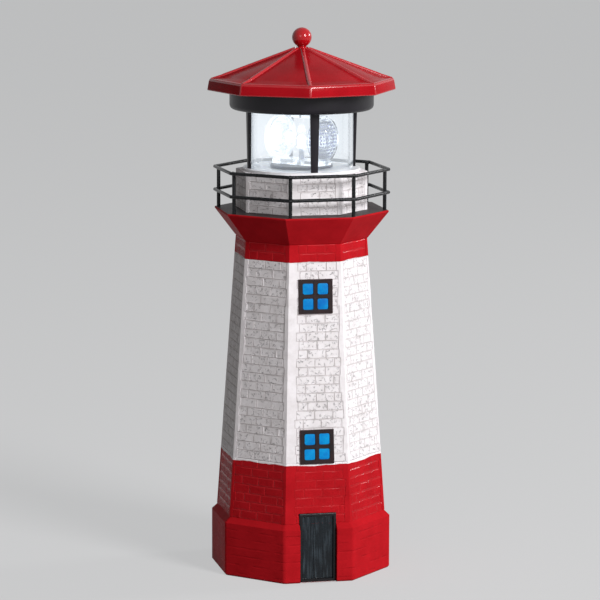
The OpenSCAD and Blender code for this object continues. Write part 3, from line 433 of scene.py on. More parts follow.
def plinth_front():
    """The faces of the plinth's front, which the doorway is cut into."""
    return [face for face in bm.faces if mid(face).z < shaft_foot[1] and face.normal.y < -0.6]


for place, across in door_sides:
    slice_faces(bm, plinth_front(), place, across)
doorway = [face for face in plinth_front() if abs(mid(face).x) < door_w / 2]
pushed = bmesh.ops.extrude_face_region(bm, geom=doorway)["geom"]
for vert in [g for g in pushed if isinstance(g, bmesh.types.BMVert)]:
    vert.co.y = doorway_back
bmesh.ops.delete(bm, geom=[face for face in doorway if face.is_valid], context="FACES")
for face in bm.faces:
    if mid(face).z < plinth_h:
        face.material_index = 4
red_gloss, red_brick, red_edge = reds("", [75.2 * mm, None, white])
# paint has nearly filled the plinth's own courses: only stretches of them show
red_plinth = paint("red_plinth", red, deep_red, 0.34, 1.6 * mm, 0.05 * mm, gloss=0.006)
tree, shader = opened(red_plinth)
courses = add(tree, "TexWave", "Fac", {
    "Vector": here(tree), "Scale": 0.314 / course_h, "Distortion": 0.35, "Detail Scale": 60},
    bands_direction="Z")
left_open = ranged(tree, noise(tree, 11 * mm, 2), 0.42, 0.62)
furrow = calc(tree, "MULTIPLY", ranged(tree, courses, 0.86, 1), left_open)
feed(tree, shader, {"Normal": bumped(tree, furrow, 0.22 * mm, under=fed(shader, "Normal"), invert=True)})
foot = finish_mesh(bm, "tower_foot", [red_gloss, red_brick, red_gloss, red_edge, red_plinth], "tower")
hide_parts("tower")

# ---------- tower: white shaft ----------
# The white band is the same casting: 23 courses of scarred bricks in running
# bond, with a smooth strip beside every corner, in satin white.
white_joint = (0.36 * mm, 0.36 * mm, 0.12 * mm)
sunk = (white_joint[1] + white_joint[2]) / flat_of_corner
bm = bmesh.new()
octagon_wall(bm, [(shaft_r(white_from) - sunk, white_from), (shaft_r(red_from) - sunk, red_from)])
lay_bricks(bm, shaft_r, white_from, 23, course_h, white_joint, 0.2 * mm, first=7)
white_satin = paint("white_satin", white, dull_white, 0.5, 0.8 * mm, 0.16 * mm, gloss=0.12)
white_brick = paint("white_brick", white, dull_white, 0.5, 0.8 * mm, 0.2 * mm, pits=0.8 * mm, gloss=0.12)
white_mortar = paint("white_mortar", colour(220, 215, 216), colour(192, 187, 187), 0.6, 0.8 * mm, 0.16 * mm,
                     gloss=0.12)
whites = [white_satin, white_brick, white_mortar, white_brick]
shaft = finish_mesh(bm, "tower_shaft", whites, "tower")

# ---------- tower: red head and deck ----------
# Two red courses, then a smooth flare out to the gallery. The deck on top
# of it is painted dull black-brown.
deck_r = 56.8 * mm
deck_z = 234 * mm
drum_r = 42.9 * mm
drum_z = 259 * mm
bm = bmesh.new()
octagon_wall(bm, [(shaft_r(red_from) - red_sunk, red_from), (shaft_head[0] - red_sunk, shaft_head[1])])
lay_bricks(bm, shaft_r, red_from, 2, course_h, red_joint, 0.1 * mm, first=30)
octagon_wall(bm, [
    (shaft_head[0] - red_sunk, shaft_head[1]), (shaft_head[0] + 0.4 * mm, shaft_head[1] + 0.6 * mm),
    (deck_r - 0.2 * mm, deck_z - 1.3 * mm), (deck_r, deck_z - 1.05 * mm), (deck_r, deck_z - 0.35 * mm),
    (deck_r - 0.4 * mm, deck_z),
])
red_gloss, red_brick, red_edge = reds("_head", [204.2 * mm, white, None])
head = finish_mesh(bm, "tower_head", [red_gloss, red_brick, red_gloss, red_edge], "tower")
bm = bmesh.new()
octagon_wall(bm, [(deck_r - 0.4 * mm, deck_z), (drum_r - sunk, deck_z)])
deck_paint = paint("deck_paint", colour(52, 38, 38), colour(30, 23, 25), 0.5, 1.2 * mm, 0.15 * mm, gloss=0.3)
deck = finish_mesh(bm, "gallery_deck", [deck_paint], "tower")

# ---------- tower: white drum ----------
# The short brick drum stands on the deck and holds the lantern's socket.
bm = bmesh.new()
octagon_wall(bm, [(drum_r - sunk, deck_z), (drum_r - sunk, drum_z)])
lay_bricks(bm, lambda z: drum_r, deck_z, 5, 5 * mm, white_joint, 0.2 * mm)
drum = finish_mesh(bm, "tower_drum", whites, "tower")

# ---------- tower: hollow inside ----------
# The casting is open below, about 5 mm thick, with a round socket in the
# drum that the lantern drops into. Inside it is bare white resin.
socket_r = 34.35 * mm
ceiling_z = 226.6 * mm
bm = bmesh.new()
octagon_wall(bm, [
    (foot_inner_r, 0), (50.09 * mm, shaft_foot[1]), (37.59 * mm, shaft_head[1]), (37.59 * mm, ceiling_z),
])
bmesh.ops.create_cone(bm, cap_ends=False, segments=72, radius1=socket_r, radius2=socket_r,
                      depth=drum_z - ceiling_z, matrix=at_height((drum_z + ceiling_z) / 2))
bmesh.ops.triangle_fill(bm, use_beauty=True, edges=[
    edge for edge in bm.edges
    if edge.is_boundary and all(abs(vert.co.z - ceiling_z) < 1e-6 for vert in edge.verts)])
bmesh.ops.recalc_face_normals(bm, faces=bm.faces)
if sum(face.normal.dot(Vector((mid(face).x, mid(face).y, 0))) for face in bm.faces) > 0:
    bmesh.ops.reverse_faces(bm, faces=bm.faces)
bare_resin = paint("bare_resin", colour(214, 208, 198), colour(190, 184, 174), 0.7, 1.4 * mm, 0.2 * mm)
hollow = finish_mesh(bm, "tower_hollow", [bare_resin], "tower", smooth=30)

# the bottom rim, with the doorway's notch, and the top rim round the socket
bm = bmesh.new()
octagon_wall(bm, [(plinth_r - 1 * mm, 0), (foot_inner_r, 0)])
for place, across in (*door_sides, ((0, doorway_back, 0), (0, 1, 0))):
    slice_faces(bm, bm.faces[:], place, across)
bmesh.ops.delete(bm, context="FACES", geom=[
    face for face in bm.faces if abs(mid(face).x) < door_w / 2 and mid(face).y < doorway_back])
for face in bm.faces:
    if face.normal.z > 0:
        face.normal_flip()
rim = finish_mesh(bm, "tower_foot_rim", [bare_resin], "tower")
bm = bmesh.new()
bmesh.ops.create_circle(bm, cap_ends=False, segments=8, radius=drum_r - sunk,
                        matrix=at_height(drum_z, corner_turn))
bmesh.ops.create_circle(bm, cap_ends=False, segments=72, radius=socket_r, matrix=at_height(drum_z))
bmesh.ops.triangle_fill(bm, use_beauty=True, edges=bm.edges)
for face in bm.faces:
    if face.normal.z < 0:
        face.normal_flip()
drum_top = finish_mesh(bm, "tower_drum_top", [white_satin], "tower")

# ---------- door ----------
# The door is moulded in the casting: a black frame round three slate planks,
# painted with a dry brush, set back in the plinth.
door_face = -51.98 * mm
door_border = 2.7 * mm
bm = bmesh.new()
bmesh.ops.create_cube(bm, size=1)
bmesh.ops.scale(bm, vec=(door_w, 4 * mm, door_h), verts=bm.verts)
bmesh.ops.translate(bm, vec=(0, door_face + 2 * mm, door_h / 2), verts=bm.verts)
soften(bm, [edge for edge in bm.edges if all(vert.co.y < door_face + 1e-6 for vert in edge.verts)], 0.6 * mm, 2)
front = [max(bm.faces, key=lambda face: (-face.normal.y, face.calc_area()))]
bmesh.ops.inset_region(bm, faces=front, thickness=door_border - 0.9 * mm)
bmesh.ops.inset_region(bm, faces=front, thickness=0.35 * mm, depth=-1.1 * mm)
for x in (-3.1 * mm, 3.1 * mm):
    front = slice_faces(bm, front, (x, 0, 0), (1, 0, 0))
grooves = bmesh.ops.inset_individual(bm, faces=front, thickness=0.2 * mm, depth=-0.06 * mm)["faces"]
grooves += bmesh.ops.inset_individual(bm, faces=front, thickness=0.5 * mm, depth=0.1 * mm)["faces"]
for face in front + grooves:
    face.material_index = 1
for vert in bm.verts:
    vert.co.x += dice.uniform(-0.16, 0.16) * mm
    if door_face + 0.2 * mm < vert.co.y < door_face + 1.6 * mm:
        vert.co.y += dice.uniform(-0.08, 0.08) * mm
door_black = paint("door_black", colour(13, 12, 15), colour(22, 20, 24), 0.34, 1.1 * mm, 0.15 * mm, gloss=0.3)
door_slate = paint("door_slate", colour(11, 17, 22), colour(24, 33, 40), 0.26, 1.6 * mm, 0.4 * mm, gloss=0.3)
# pale strokes of a nearly dry brush, up and down the panel
tree, shader = opened(door_slate)
drawn = add(tree, "Mapping", "Vector", {
    "Vector": here(tree), "Scale": (1 / (1.1 * mm), 1 / (1.1 * mm), 1 / (15 * mm))})
dry = ranged(tree, noise(tree, 1, 4, place=drawn), 0.5, 0.85, high=0.34)
feed(tree, shader, {"Base Color": mixed(tree, dry, fed(shader, "Base Color"), colour(112, 128, 138))})
door = finish_mesh(bm, "tower_door", [door_black, door_slate], "tower")

# ---------- windows ----------
# Two windows stand 1 mm proud of the front wall: a dark brown-black frame
# and cross bars, with four rounded panes in bright blue paint.
window_w = 22 * mm
pane_near, pane_far = 1.2 * mm, 8.4 * mm
wall_tilt = math.atan((shaft_foot[0] - shaft_head[0]) * flat_of_corner / (shaft_head[1] - shaft_foot[1]))
window_brown = paint("window_brown", colour(20, 12, 15), colour(40, 20, 22), 0.36, 1.2 * mm, 0.2 * mm, gloss=0.28)
window_edge = paint("window_edge", colour(58, 24, 28), colour(30, 14, 17), 0.36, 1.2 * mm, 0.2 * mm, gloss=0.28)
pane_blue = paint("pane_blue", colour(0, 150, 216), colour(0, 104, 190), 0.28, 1.1 * mm, 0.15 * mm, gloss=0.2)
for name, z in (("lower", 87.2 * mm), ("upper", 182.8 * mm)):
    on_wall = (Matrix.Translation((0, -shaft_r(z) * flat_of_corner, z))
               @ Matrix.Rotation(math.pi / 2 - wall_tilt, 4, "X"))
    bm = bmesh.new()
    bmesh.ops.create_cube(bm, size=1)
    bmesh.ops.scale(bm, vec=(window_w, window_w, 2 * mm), verts=bm.verts)
    soften(bm, [edge for edge in bm.edges if any(vert.co.z > 0 for vert in edge.verts)], 0.35 * mm, 2)
    top = [max(bm.faces, key=lambda face: (round(face.normal.z, 3), face.calc_area()))]
    for across in (Vector((1, 0, 0)), Vector((0, 1, 0))):
        for place in (-pane_far, -pane_near, pane_near, pane_far):
            top = slice_faces(bm, top, across * place, across)
    panes = [face for face in top
             if pane_near < abs(mid(face).x) < pane_far and pane_near < abs(mid(face).y) < pane_far]
    bmesh.ops.inset_individual(bm, faces=panes, thickness=0.2 * mm, depth=-0.75 * mm)
    for vert in bm.verts:
        if vert.co.z > 0.3 * mm:
            vert.co.x += dice.uniform(-0.16, 0.16) * mm
            vert.co.y += dice.uniform(-0.16, 0.16) * mm
    for face in bm.faces:
        if max(abs(mid(face).x), abs(mid(face).y)) > 10.2 * mm:
            face.material_index = 1
    bmesh.ops.transform(bm, matrix=on_wall, verts=bm.verts)
    window_frame = finish_mesh(bm, f"window_frame_{name}", [window_brown, window_edge], "tower")
    bm = bmesh.new()
    for x in (-1, 1):
        for y in (-1, 1):
            centre = Vector((x * 4.7 * mm + dice.uniform(-0.15, 0.15) * mm,
                             y * 4.8 * mm + dice.uniform(-0.15, 0.15) * mm, 0.2 * mm))
            made = bmesh.ops.create_cube(bm, size=1, matrix=(
                Matrix.Translation(centre) @ Matrix.Diagonal((6.8 * mm, 7.1 * mm, 0.5 * mm, 1))))["verts"]
            soften(bm, [edge for edge in edges_at(made)
                        if abs(edge.verts[0].co.z - edge.verts[1].co.z) > 0.1 * mm], 1.3 * mm, 4)
            face = min(bm.faces, key=lambda f: (mid(f) - centre - Vector((0, 0, 0.25 * mm))).length)
            bmesh.ops.inset_region(bm, faces=[face], thickness=0.8 * mm, depth=0.12 * mm)
    bmesh.ops.transform(bm, matrix=on_wall, verts=bm.verts)
    panes = finish_mesh(bm, f"window_panes_{name}", [pane_blue], "tower", smooth=35)

# ---------- gallery rail ----------
# Eight steel posts stand in holes in the deck, with two bent steel rings
# brazed outside them, all dipped in black paint.
rail_turn = math.radians(22.5 + 2.6)
post_r = 53.78 * mm
post_d = 2.4 * mm
post_foot_z = 232.5 * mm
post_h = 28.3 * mm
rail_r = 56.2 * mm
rail_d = 2.2 * mm
upper_rail_z = 260 * mm
lower_rail_z = 245.2 * mm
rail_black = paint("rail_black", colour(12, 14, 16), colour(24, 26, 28), 0.26, 1.5 * mm, 0.12 * mm, gloss=0.24)
bm = bmesh.new()
for k in range(8):
    turn = rail_turn + k * math.pi / 4
    out = Vector((math.cos(turn), math.sin(turn), 0))
    centre = out * post_r + Vector((0, 0, post_foot_z + post_h / 2))
    made = bmesh.ops.create_cone(bm, cap_ends=True, segments=20, radius1=post_d / 2, radius2=post_d / 2,
                                 depth=post_h, matrix=Matrix.Translation(centre))["verts"]
    soften(bm, [edge for edge in edges_at(made) if all(v.co.z > upper_rail_z for v in edge.verts)], 0.6 * mm, 3)
    # a small blob of braze where each ring meets the post
    for z in (lower_rail_z, upper_rail_z - 0.2 * mm):
        blob = out * (post_r + 0.8 * mm) + Vector((0, 0, z))
        bmesh.ops.create_icosphere(bm, subdivisions=2, radius=1.38 * mm, matrix=Matrix.Translation(blob))
posts = finish_mesh(bm, "gallery_posts", [rail_black], "tower", smooth=40)
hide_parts("rail_posts")
for name, z in (("upper", upper_rail_z), ("lower", lower_rail_z)):
    bm = bmesh.new()
    bmesh.ops.create_circle(bm, cap_ends=False, segments=20, radius=rail_d / 2,
                            matrix=Matrix.Translation((rail_r, 0, z)) @ Matrix.Rotation(math.pi / 2, 4, "X"))
    bmesh.ops.rotate(bm, cent=(0, 0, 0), matrix=Matrix.Rotation(rail_turn, 3, "Z"), verts=bm.verts)
    bmesh.ops.spin(bm, geom=bm.verts[:] + bm.edges[:], cent=(0, 0, 0), axis=(0, 0, 1), angle=2 * math.pi,
                   steps=8, use_merge=True)
    bmesh.ops.recalc_face_normals(bm, faces=bm.faces)
    rail = finish_mesh(bm, f"gallery_rail_{name}", [rail_black], "tower", smooth=40)
    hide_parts(f"rail_{name}")

# ---------- lantern: clear cylinder ----------
# The lamp room's wall is one clear acrylic tube, held in a groove of the
# white base and under the black cage. Its cut rims are lightly rounded.
glass_r = 33.2 * mm
glass_inner_r = glass_r - 1.6 * mm
glass_foot = 259.2 * mm
glass_top = 298 * mm
rounding = 0.25 * mm


def spun(bm, profile, segments):
    """A round body from its section, given as (radius, height) round it."""
    verts = [bm.verts.new((r, 0, z)) for r, z in profile]
    edges = [bm.edges.new(pair) for pair in zip(verts, verts[1:])]
    if (verts[0].co - verts[-1].co).length > 1e-7 and profile[0][0] > 1e-7 and profile[-1][0] > 1e-7:
        edges.append(bm.edges.new((verts[-1], verts[0])))
    bmesh.ops.spin(bm, geom=verts + edges, cent=(0, 0, 0), axis=(0, 0, 1), angle=2 * math.pi,
                   steps=segments, use_merge=True)
    bmesh.ops.remove_doubles(bm, verts=bm.verts, dist=1e-6)
    bmesh.ops.recalc_face_normals(bm, faces=bm.faces)


def clear(name, tint, roughness, relief, scale):
    """Clear moulded plastic: transmission, faint flow marks in the surface."""
    material, tree, shader = new_material(name)
    flow = noise(tree, scale, 3)
    feed(tree, shader, {
        "Transmission Weight": 1, "IOR": 1.49,
        "Base Color": ramp(tree, flow, (0, tint), (1, (1, 1, 1, 1))),
        "Roughness": ranged(tree, flow, 0, 1, roughness * 0.6, roughness * 1.6),
        "Normal": bumped(tree, flow, relief, 0.25)})
    return material


bm = bmesh.new()
spun(bm, [
    (glass_inner_r, glass_foot + rounding), (glass_inner_r + rounding, glass_foot),
    (glass_r - rounding, glass_foot), (glass_r, glass_foot + rounding),
    (glass_r, glass_top - rounding), (glass_r - rounding, glass_top),
    (glass_inner_r + rounding, glass_top), (glass_inner_r, glass_top - rounding),
], 96)
acrylic = clear("clear_acrylic", (0.93, 0.965, 0.98, 1), 0.04, 0.05 * mm, 9 * mm)
glass = finish_mesh(bm, "lamp_room_glass", [acrylic], "lantern", smooth=40)
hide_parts("lantern_glass")

# ---------- lantern: black cage ----------
# One black moulding: a round ring under the eaves, an eight-sided soffit
# inside the roof, and four legs that taper down to the base.
ring_r = 46.2 * mm
ring_z = 298 * mm
ring_edge = 3 * mm
eaves_z = 310 * mm
soffit_r = 56.69 * mm
leg_inner_r = 33.45 * mm
leg_head = (5.9 * mm, 2.5 * mm, 298.5 * mm)    # width, depth and height
leg_foot = (4.5 * mm, 1.8 * mm, 260.6 * mm)
leg_turns = (0, 91.2, 181.2, 271.2)            # degrees; the CAD's right leg stands at 1.2
roof_turn = math.radians(-7.25)


def moulded(name, plastic, second, roughness, grain=0.7 * mm, relief=0.04 * mm, metallic=0.0, coat=0.0,
            gloss=0.5):
    """Moulded plastic or plain metal: a fine grain and faint cloudiness."""
    material, tree, shader = new_material(name)
    fine = noise(tree, grain, 4)
    feed(tree, shader, {
        "Metallic": metallic, "Specular IOR Level": gloss, "Coat Weight": coat,
        "Base Color": ramp(tree, noise(tree, grain * 12, 5), (0.35, second), (0.6, plastic)),
        "Roughness": ranged(tree, fine, 0, 1, roughness * 0.8, min(1, roughness * 1.25)),
        "Normal": bumped(tree, fine, relief, 0.5)})
    return material


black_gloss = moulded("black_gloss", colour(16, 13, 19), colour(22, 18, 26), 0.36, grain=1.2 * mm,
                      relief=0.02 * mm, gloss=0.32)
bm = bmesh.new()
profile = [(5 * mm, ring_z), (ring_r - ring_edge, ring_z)]
for step in range(1, 7):
    swing = math.pi / 12 * step
    profile.append((ring_r + ring_edge * (math.sin(swing) - 1), ring_z + ring_edge * (1 - math.cos(swing))))
profile += [(ring_r, eaves_z + 1 * mm), (5 * mm, eaves_z + 1 * mm)]
spun(bm, profile, 96)
bmesh.ops.create_cone(bm, cap_ends=True, segments=8, radius1=soffit_r, radius2=soffit_r, depth=1.6 * mm,
                      matrix=at_height(eaves_z + 1.6 * mm, roof_turn))
for leg_turn in leg_turns:
    others = set(bm.verts)
    made = bmesh.ops.create_cube(bm, size=1)["verts"]
    for vert in made:
        width, depth, z = leg_head if vert.co.z > 0 else leg_foot
        vert.co = Vector((leg_inner_r + (depth if vert.co.x > 0 else 0),
                          width / 2 if vert.co.y > 0 else -width / 2, z))
    soften(bm, [edge for edge in edges_at(made)
                if abs(edge.verts[0].co.z - edge.verts[1].co.z) > 10 * mm], 0.5 * mm, 3)
    bmesh.ops.rotate(bm, cent=(0, 0, 0), matrix=Matrix.Rotation(math.radians(leg_turn), 3, "Z"),
                     verts=[vert for vert in bm.verts if vert not in others])
cage = finish_mesh(bm, "lantern_cage", [black_gloss], "lantern", smooth=35)
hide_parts("cage")

# ---------- roof ----------
# The roof is one red moulding: eight flat panels between rounded ridge
# ribs, a shallow skirt at the eaves and an upright fascia with soft edges.
eaves_r = 60.7 * mm
fascia_inner_r = 58.2 * mm
slope_foot = (50.1 * mm, 319.7 * mm)
slope_top = (5.6 * mm, 336.5 * mm)


def rod(bm, start, end, radius, segments):
    """A round rod between two points."""
    way = end - start
    bmesh.ops.create_cone(
        bm, cap_ends=True, segments=segments, radius1=radius, radius2=radius, depth=way.length,
        matrix=Matrix.Translation((start + end) / 2) @ way.to_track_quat("Z", "Y").to_matrix().to_4x4())


bm = bmesh.new()
for rings in (
    [(eaves_r, eaves_z), (59.5 * mm, 316.8 * mm), (58.6 * mm, 317.6 * mm), (53.5 * mm, 318.55 * mm),
     slope_foot, slope_top],
    [slope_top, (2 * mm, slope_top[1])],
    [(eaves_r, eaves_z), (fascia_inner_r, eaves_z)],
    [(fascia_inner_r, eaves_z), (57.2 * mm, 315 * mm)],
):
    octagon_wall(bm, rings, roof_turn)
bmesh.ops.recalc_face_normals(bm, faces=bm.faces)
fascia = [edge for edge in bm.edges if edge.is_manifold and edge.calc_face_angle(0) > 0.3
          and max(v.co.z for v in edge.verts) < 317.7 * mm and min(v.co.xy.length for v in edge.verts) > 58.4 * mm]
for face in soften(bm, fascia, 0.7 * mm, 3):
    face.material_index = 1
panels = set(bm.faces)
for k in range(8):
    turn = roof_turn + k * math.pi / 4
    out = Vector((math.cos(turn), math.sin(turn), 0))
    bend = out * slope_foot[0] + Vector((0, 0, 319.2 * mm))
    rod(bm, bend, out * 4.6 * mm + Vector((0, 0, 336 * mm)), 1.5 * mm, 16)
    rod(bm, out * 57.9 * mm + Vector((0, 0, 316.7 * mm)), out * 49.5 * mm + Vector((0, 0, 319.4 * mm)),
        1.35 * mm, 16)
    bmesh.ops.create_icosphere(bm, subdivisions=2, radius=1.5 * mm, matrix=Matrix.Translation(bend))
for face in bm.faces:
    if face not in panels:
        face.material_index = 1
red_plastic = moulded("red_plastic", colour(178, 22, 32), colour(164, 19, 28), 0.17, grain=1.6 * mm,
                      relief=0.02 * mm, gloss=0.015)
# ribs and fascia edges: a glossier red plastic, a shade lighter than the roof as a painted highlight
red_gloss_painted_highlight = moulded("red_gloss_painted_highlight", colour(186, 26, 36), colour(174, 22, 32), 0.24, grain=1.6 * mm,
                       relief=0.02 * mm, gloss=0.6)
roof = finish_mesh(bm, "lantern_roof", [red_plastic, red_gloss_painted_highlight], "lantern", smooth=30)
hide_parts("roof")

# ---------- finial ----------
# A glossy red ball on a short neck, pressed into the top of the roof.
ball_z, ball_r = 343.7 * mm, 6.3 * mm
bm = bmesh.new()
profile = [(0, ball_z + ball_r)]
for step in range(1, 20):
    swing = math.radians(8 * step)
    profile.append((ball_r * math.sin(swing), ball_z + ball_r * math.cos(swing)))
profile += [(2.75 * mm, 337.6 * mm), (3.0 * mm, 337.1 * mm), (3.8 * mm, 336.6 * mm), (3.8 * mm, 336.2 * mm),
            (1.96 * mm, 336.2 * mm), (1.96 * mm, 329 * mm), (0, 329 * mm)]
spun(bm, profile, 40)
finial_red = moulded("finial_red", colour(184, 15, 25), colour(170, 12, 21), 0.12, grain=2 * mm,
                     relief=0.02 * mm, gloss=0.45)
finial = finish_mesh(bm, "roof_finial", [finial_red], "lantern", smooth=40)
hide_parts("finial")

# ---------- solar panels ----------
# Two small panels are let into the rear slopes of the roof: a black tray with
# four dark blue cells under clear resin, printed with fine silver lines.
panel_pitch = math.radians(22.23)
panel_len = 24 * mm
panel_black = moulded("panel_black", colour(20, 21, 24), colour(28, 29, 33), 0.35)


def cell_blue(name, turn):
    """Silicon under resin: deep blue with crystal patches and silver fingers across the slope."""
    material = moulded(name, colour(12, 18, 52), colour(22, 34, 84), 0.16, grain=2.2 * mm,
                       relief=0.01 * mm, coat=0.15, gloss=0.3)
    tree, shader = opened(material)
    lay = add(tree, "Mapping", "Vector", {"Vector": here(tree), "Rotation": (0, 0, -turn)})
    fingers = add(tree, "TexWave", "Fac", {"Vector": lay, "Scale": 0.314 / (1.3 * mm)}, bands_direction="Y")
    line = ranged(tree, fingers, 0.985, 0.998)
    feed(tree, shader, {"Base Color": mixed(tree, line, fed(shader, "Base Color"), colour(150, 156, 168))})
    return material


for name, turn in (("right", roof_turn + math.radians(67.5)), ("left", roof_turn + math.radians(112.5))):
    on_slope = (Matrix.Rotation(turn, 4, "Z") @ Matrix.Translation((27.23 * mm, 0, 327.487 * mm))
                @ Matrix.Rotation(panel_pitch, 4, "Y"))
    bm = bmesh.new()
    bmesh.ops.create_cube(bm, size=1)
    for vert in bm.verts:
        half_w = (4.08 if vert.co.x < 0 else 13.28) * mm
        vert.co = Vector((vert.co.x * panel_len, half_w if vert.co.y > 0 else -half_w,
                          (0.3 if vert.co.z > 0 else -0.9) * mm))
    soften(bm, bm.edges[:], 0.18 * mm, 2)
    top = [max(bm.faces, key=lambda face: face.normal.z * face.calc_area())]
    bmesh.ops.inset_region(bm, faces=top, thickness=0.9 * mm)
    bmesh.ops.inset_region(bm, faces=top, thickness=0.15 * mm, depth=-0.15 * mm)
    for x in (-5.4 * mm, 0, 5.4 * mm):
        top = slice_faces(bm, top, (x, 0, 0), (1, 0, 0))
    bmesh.ops.inset_individual(bm, faces=top, thickness=0.22 * mm, depth=0.04 * mm)
    for face in top:
        face.material_index = 1
    bmesh.ops.transform(bm, matrix=on_slope, verts=bm.verts)
    panel = finish_mesh(bm, f"solar_panel_{name}", [panel_black, cell_blue(f"cell_blue_{name}", turn)], "lantern")
    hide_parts(f"solar_panel_{name}")

# ---------- lead ----------
# A thin black twin lead runs from the panels down behind the rear leg to the
# circuit board.


def dress(node, material):
    """Gives a solid of the CAD model its finish."""
    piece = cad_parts[node]
    piece.data.materials.clear()
    piece.data.materials.append(material)


dress("solar_lead", moulded("lead_sleeve", colour(26, 26, 28), colour(40, 40, 42), 0.5, grain=0.5 * mm))

# ---------- lantern base ----------
# The lantern's floor is a white moulding: a flat flange that rests on the
# drum, with a round groove for the clear tube, over a skirt that plugs in.
dress("lantern_base", moulded("white_plastic", colour(238, 238, 240), colour(228, 229, 232), 0.34,
                              relief=0.03 * mm))

# ---------- bushes ----------
# Turned brass bushes carry the lens head at the floor and the cage.
brass = moulded("turned_brass", colour(201, 160, 86), colour(184, 140, 68), 0.3, grain=0.4 * mm, metallic=1.0)
dress("floor_bush", brass)
dress("pivot_bush", brass)

# ---------- turntable ----------
# A black moulded disc with a hollow hub, which turns in the floor bush and
# carries the lens head. Its black is tinted blue, a painted tint of the lamp's light.
dress("turntable", moulded("turntable_black", colour(24, 28, 44), colour(58, 66, 96), 0.4, grain=0.9 * mm,
                           gloss=0.3))

# ---------- lens frame ----------
# The frame is one clear moulding: two rims for the lenses on a foot, joined
# over the lamp by a bridge that holds the pivot pin.
frame_clear = clear("frame_clear", (0.9, 0.95, 0.98, 1), 0.08, 0.06 * mm, 5 * mm)
dress("lens_frame", frame_clear)
dress("pivot_pin", moulded("blackened_steel", colour(52, 54, 58), colour(38, 39, 43), 0.35, grain=0.4 * mm,
                           metallic=0.8))

# ---------- lenses ----------
# Each lens is a clear moulded bull's-eye: a cone towards the lamp, and a face
# of three ring steps round a domed eye, with a fine raised dot pattern.
lens_turn = math.radians(-50.6)
lens_z = 279 * mm
lens_r = 13.3 * mm
eye_r = 4.52 * mm
ring_step = (lens_r - 1 * mm - eye_r) / 3


def dotted(material, turn, pitch_of_dots, dot_light_and_shade):
    """Adds the moulded dot pattern of the lens face to a clear plastic, with the dots in the given colour: painted
    shade on one lens, painted light on the other.
    """
    tree, shader = opened(material)
    lay = add(tree, "Mapping", "Vector", {
        "Vector": here(tree), "Location": (0, 0, lens_z), "Rotation": (0, 0, turn),
        "Scale": (1, pitch_of_dots, pitch_of_dots)}, vector_type="TEXTURE")
    grid = add(tree, "TexVoronoi", "Distance", {"Vector": lay, "Scale": 1, "Randomness": 0})
    dot = ranged(tree, grid, 0.38, 0.22, interpolation_type="SMOOTHSTEP")
    feed(tree, shader, {
        "Normal": bumped(tree, dot, 0.25 * mm),
        "Base Color": mixed(tree, dot, fed(shader, "Base Color"), dot_light_and_shade)})


def nearness(tree, centre, reach):
    """1 at that point of the piece, falling to 0 at that reach."""
    ball = add(tree, "Mapping", "Vector", {
        "Vector": here(tree), "Location": centre, "Scale": (reach, reach, reach)}, vector_type="TEXTURE")
    return add(tree, "TexGradient", "Fac", {"Vector": ball}, gradient_type="SPHERICAL")


def lit(material, centre, reach, strength):
    """A painted glow: emission in the lamp's cool colour on clear plastic, brightest at centre."""
    tree, shader = opened(material)
    feed(tree, shader, {
        "Emission Color": (0.84, 0.91, 1, 1),
        "Emission Strength": calc(tree, "MULTIPLY", nearness(tree, centre, reach), strength)})


# painted glow in the clear tube and the lens frame, though neither is a lamp
lit(acrylic, (-6 * mm, 0, lens_z), 100 * mm, 0.165)
lit(frame_clear, (-8 * mm, 6 * mm, lens_z), 34 * mm, 0.3)
for name, side in (("right", 1), ("left", -1)):
    axis_turn = lens_turn + (0 if side > 0 else math.pi)
    bm = bmesh.new()
    profile = [(0, 7 * mm), (3.4 * mm, 7 * mm), (12.4 * mm, 16.4 * mm), (lens_r, 16.4 * mm), (lens_r, 18.25 * mm),
               (lens_r - 0.15 * mm, 18.4 * mm)]
    for ring in (2, 1, 0):
        outer = eye_r + ring_step * (ring + 1)
        profile += [(outer, 18.4 * mm), (outer - 0.2 * mm, 18.55 * mm),
                    (outer - ring_step + 0.25 * mm, 18.95 * mm)]
    for step in range(1, 7):
        swing = math.radians(90 * step / 7)
        profile.append((eye_r * math.cos(swing), 19 * mm + 0.85 * mm * math.sin(swing)))
    profile.append((0, 19.85 * mm))
    spun(bm, profile, 64)
    bmesh.ops.transform(bm, verts=bm.verts, matrix=(
        at_height(lens_z, axis_turn) @ Matrix.Rotation(math.pi / 2, 4, "Y")))
    lens_clear = clear(f"lens_clear_{name}", (0.88, 0.95, 0.99, 1), 0.06, 0.04 * mm, 6 * mm)
    # the right lens's dots are painted dark blue as painted shade, the left lens's dots pale as painted light
    dotted(lens_clear, lens_turn, 2.2 * mm, (0.1, 0.12, 0.36, 1) if side > 0 else (0.8, 0.88, 0.96, 1))
    # painted glow in each lens, far brighter in the left lens than in the right
    lit(lens_clear, (16 * side * math.cos(lens_turn) * mm, 16 * side * math.sin(lens_turn) * mm, lens_z),
        (22 if side > 0 else 19) * mm, 0.06 if side > 0 else 0.38)
    lens = finish_mesh(bm, f"lens_{name}_moulding", [lens_clear], "lens_head", smooth=25)
    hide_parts(f"lens_{name}")

# ---------- lamp ----------
# A cool white light-emitting diode, 5 mm across, on a white stem that stands
# on the gear plate and passes up through the turntable's hub.
lamp_lit = moulded("lamp_lit", colour(240, 246, 255), colour(225, 236, 252), 0.2, grain=0.6 * mm)
tree, shader = opened(lamp_lit)
feed(tree, shader, {
    "Emission Color": (0.86, 0.93, 1, 1),
    "Emission Strength": ranged(tree, nearness(tree, (0, 0, 278.5 * mm), 4 * mm), 0, 1, 1.5, 9)})
dress("lamp", lamp_lit)
dress("lamp_stem", moulded("stem_white", colour(226, 230, 236), colour(210, 215, 224), 0.45))

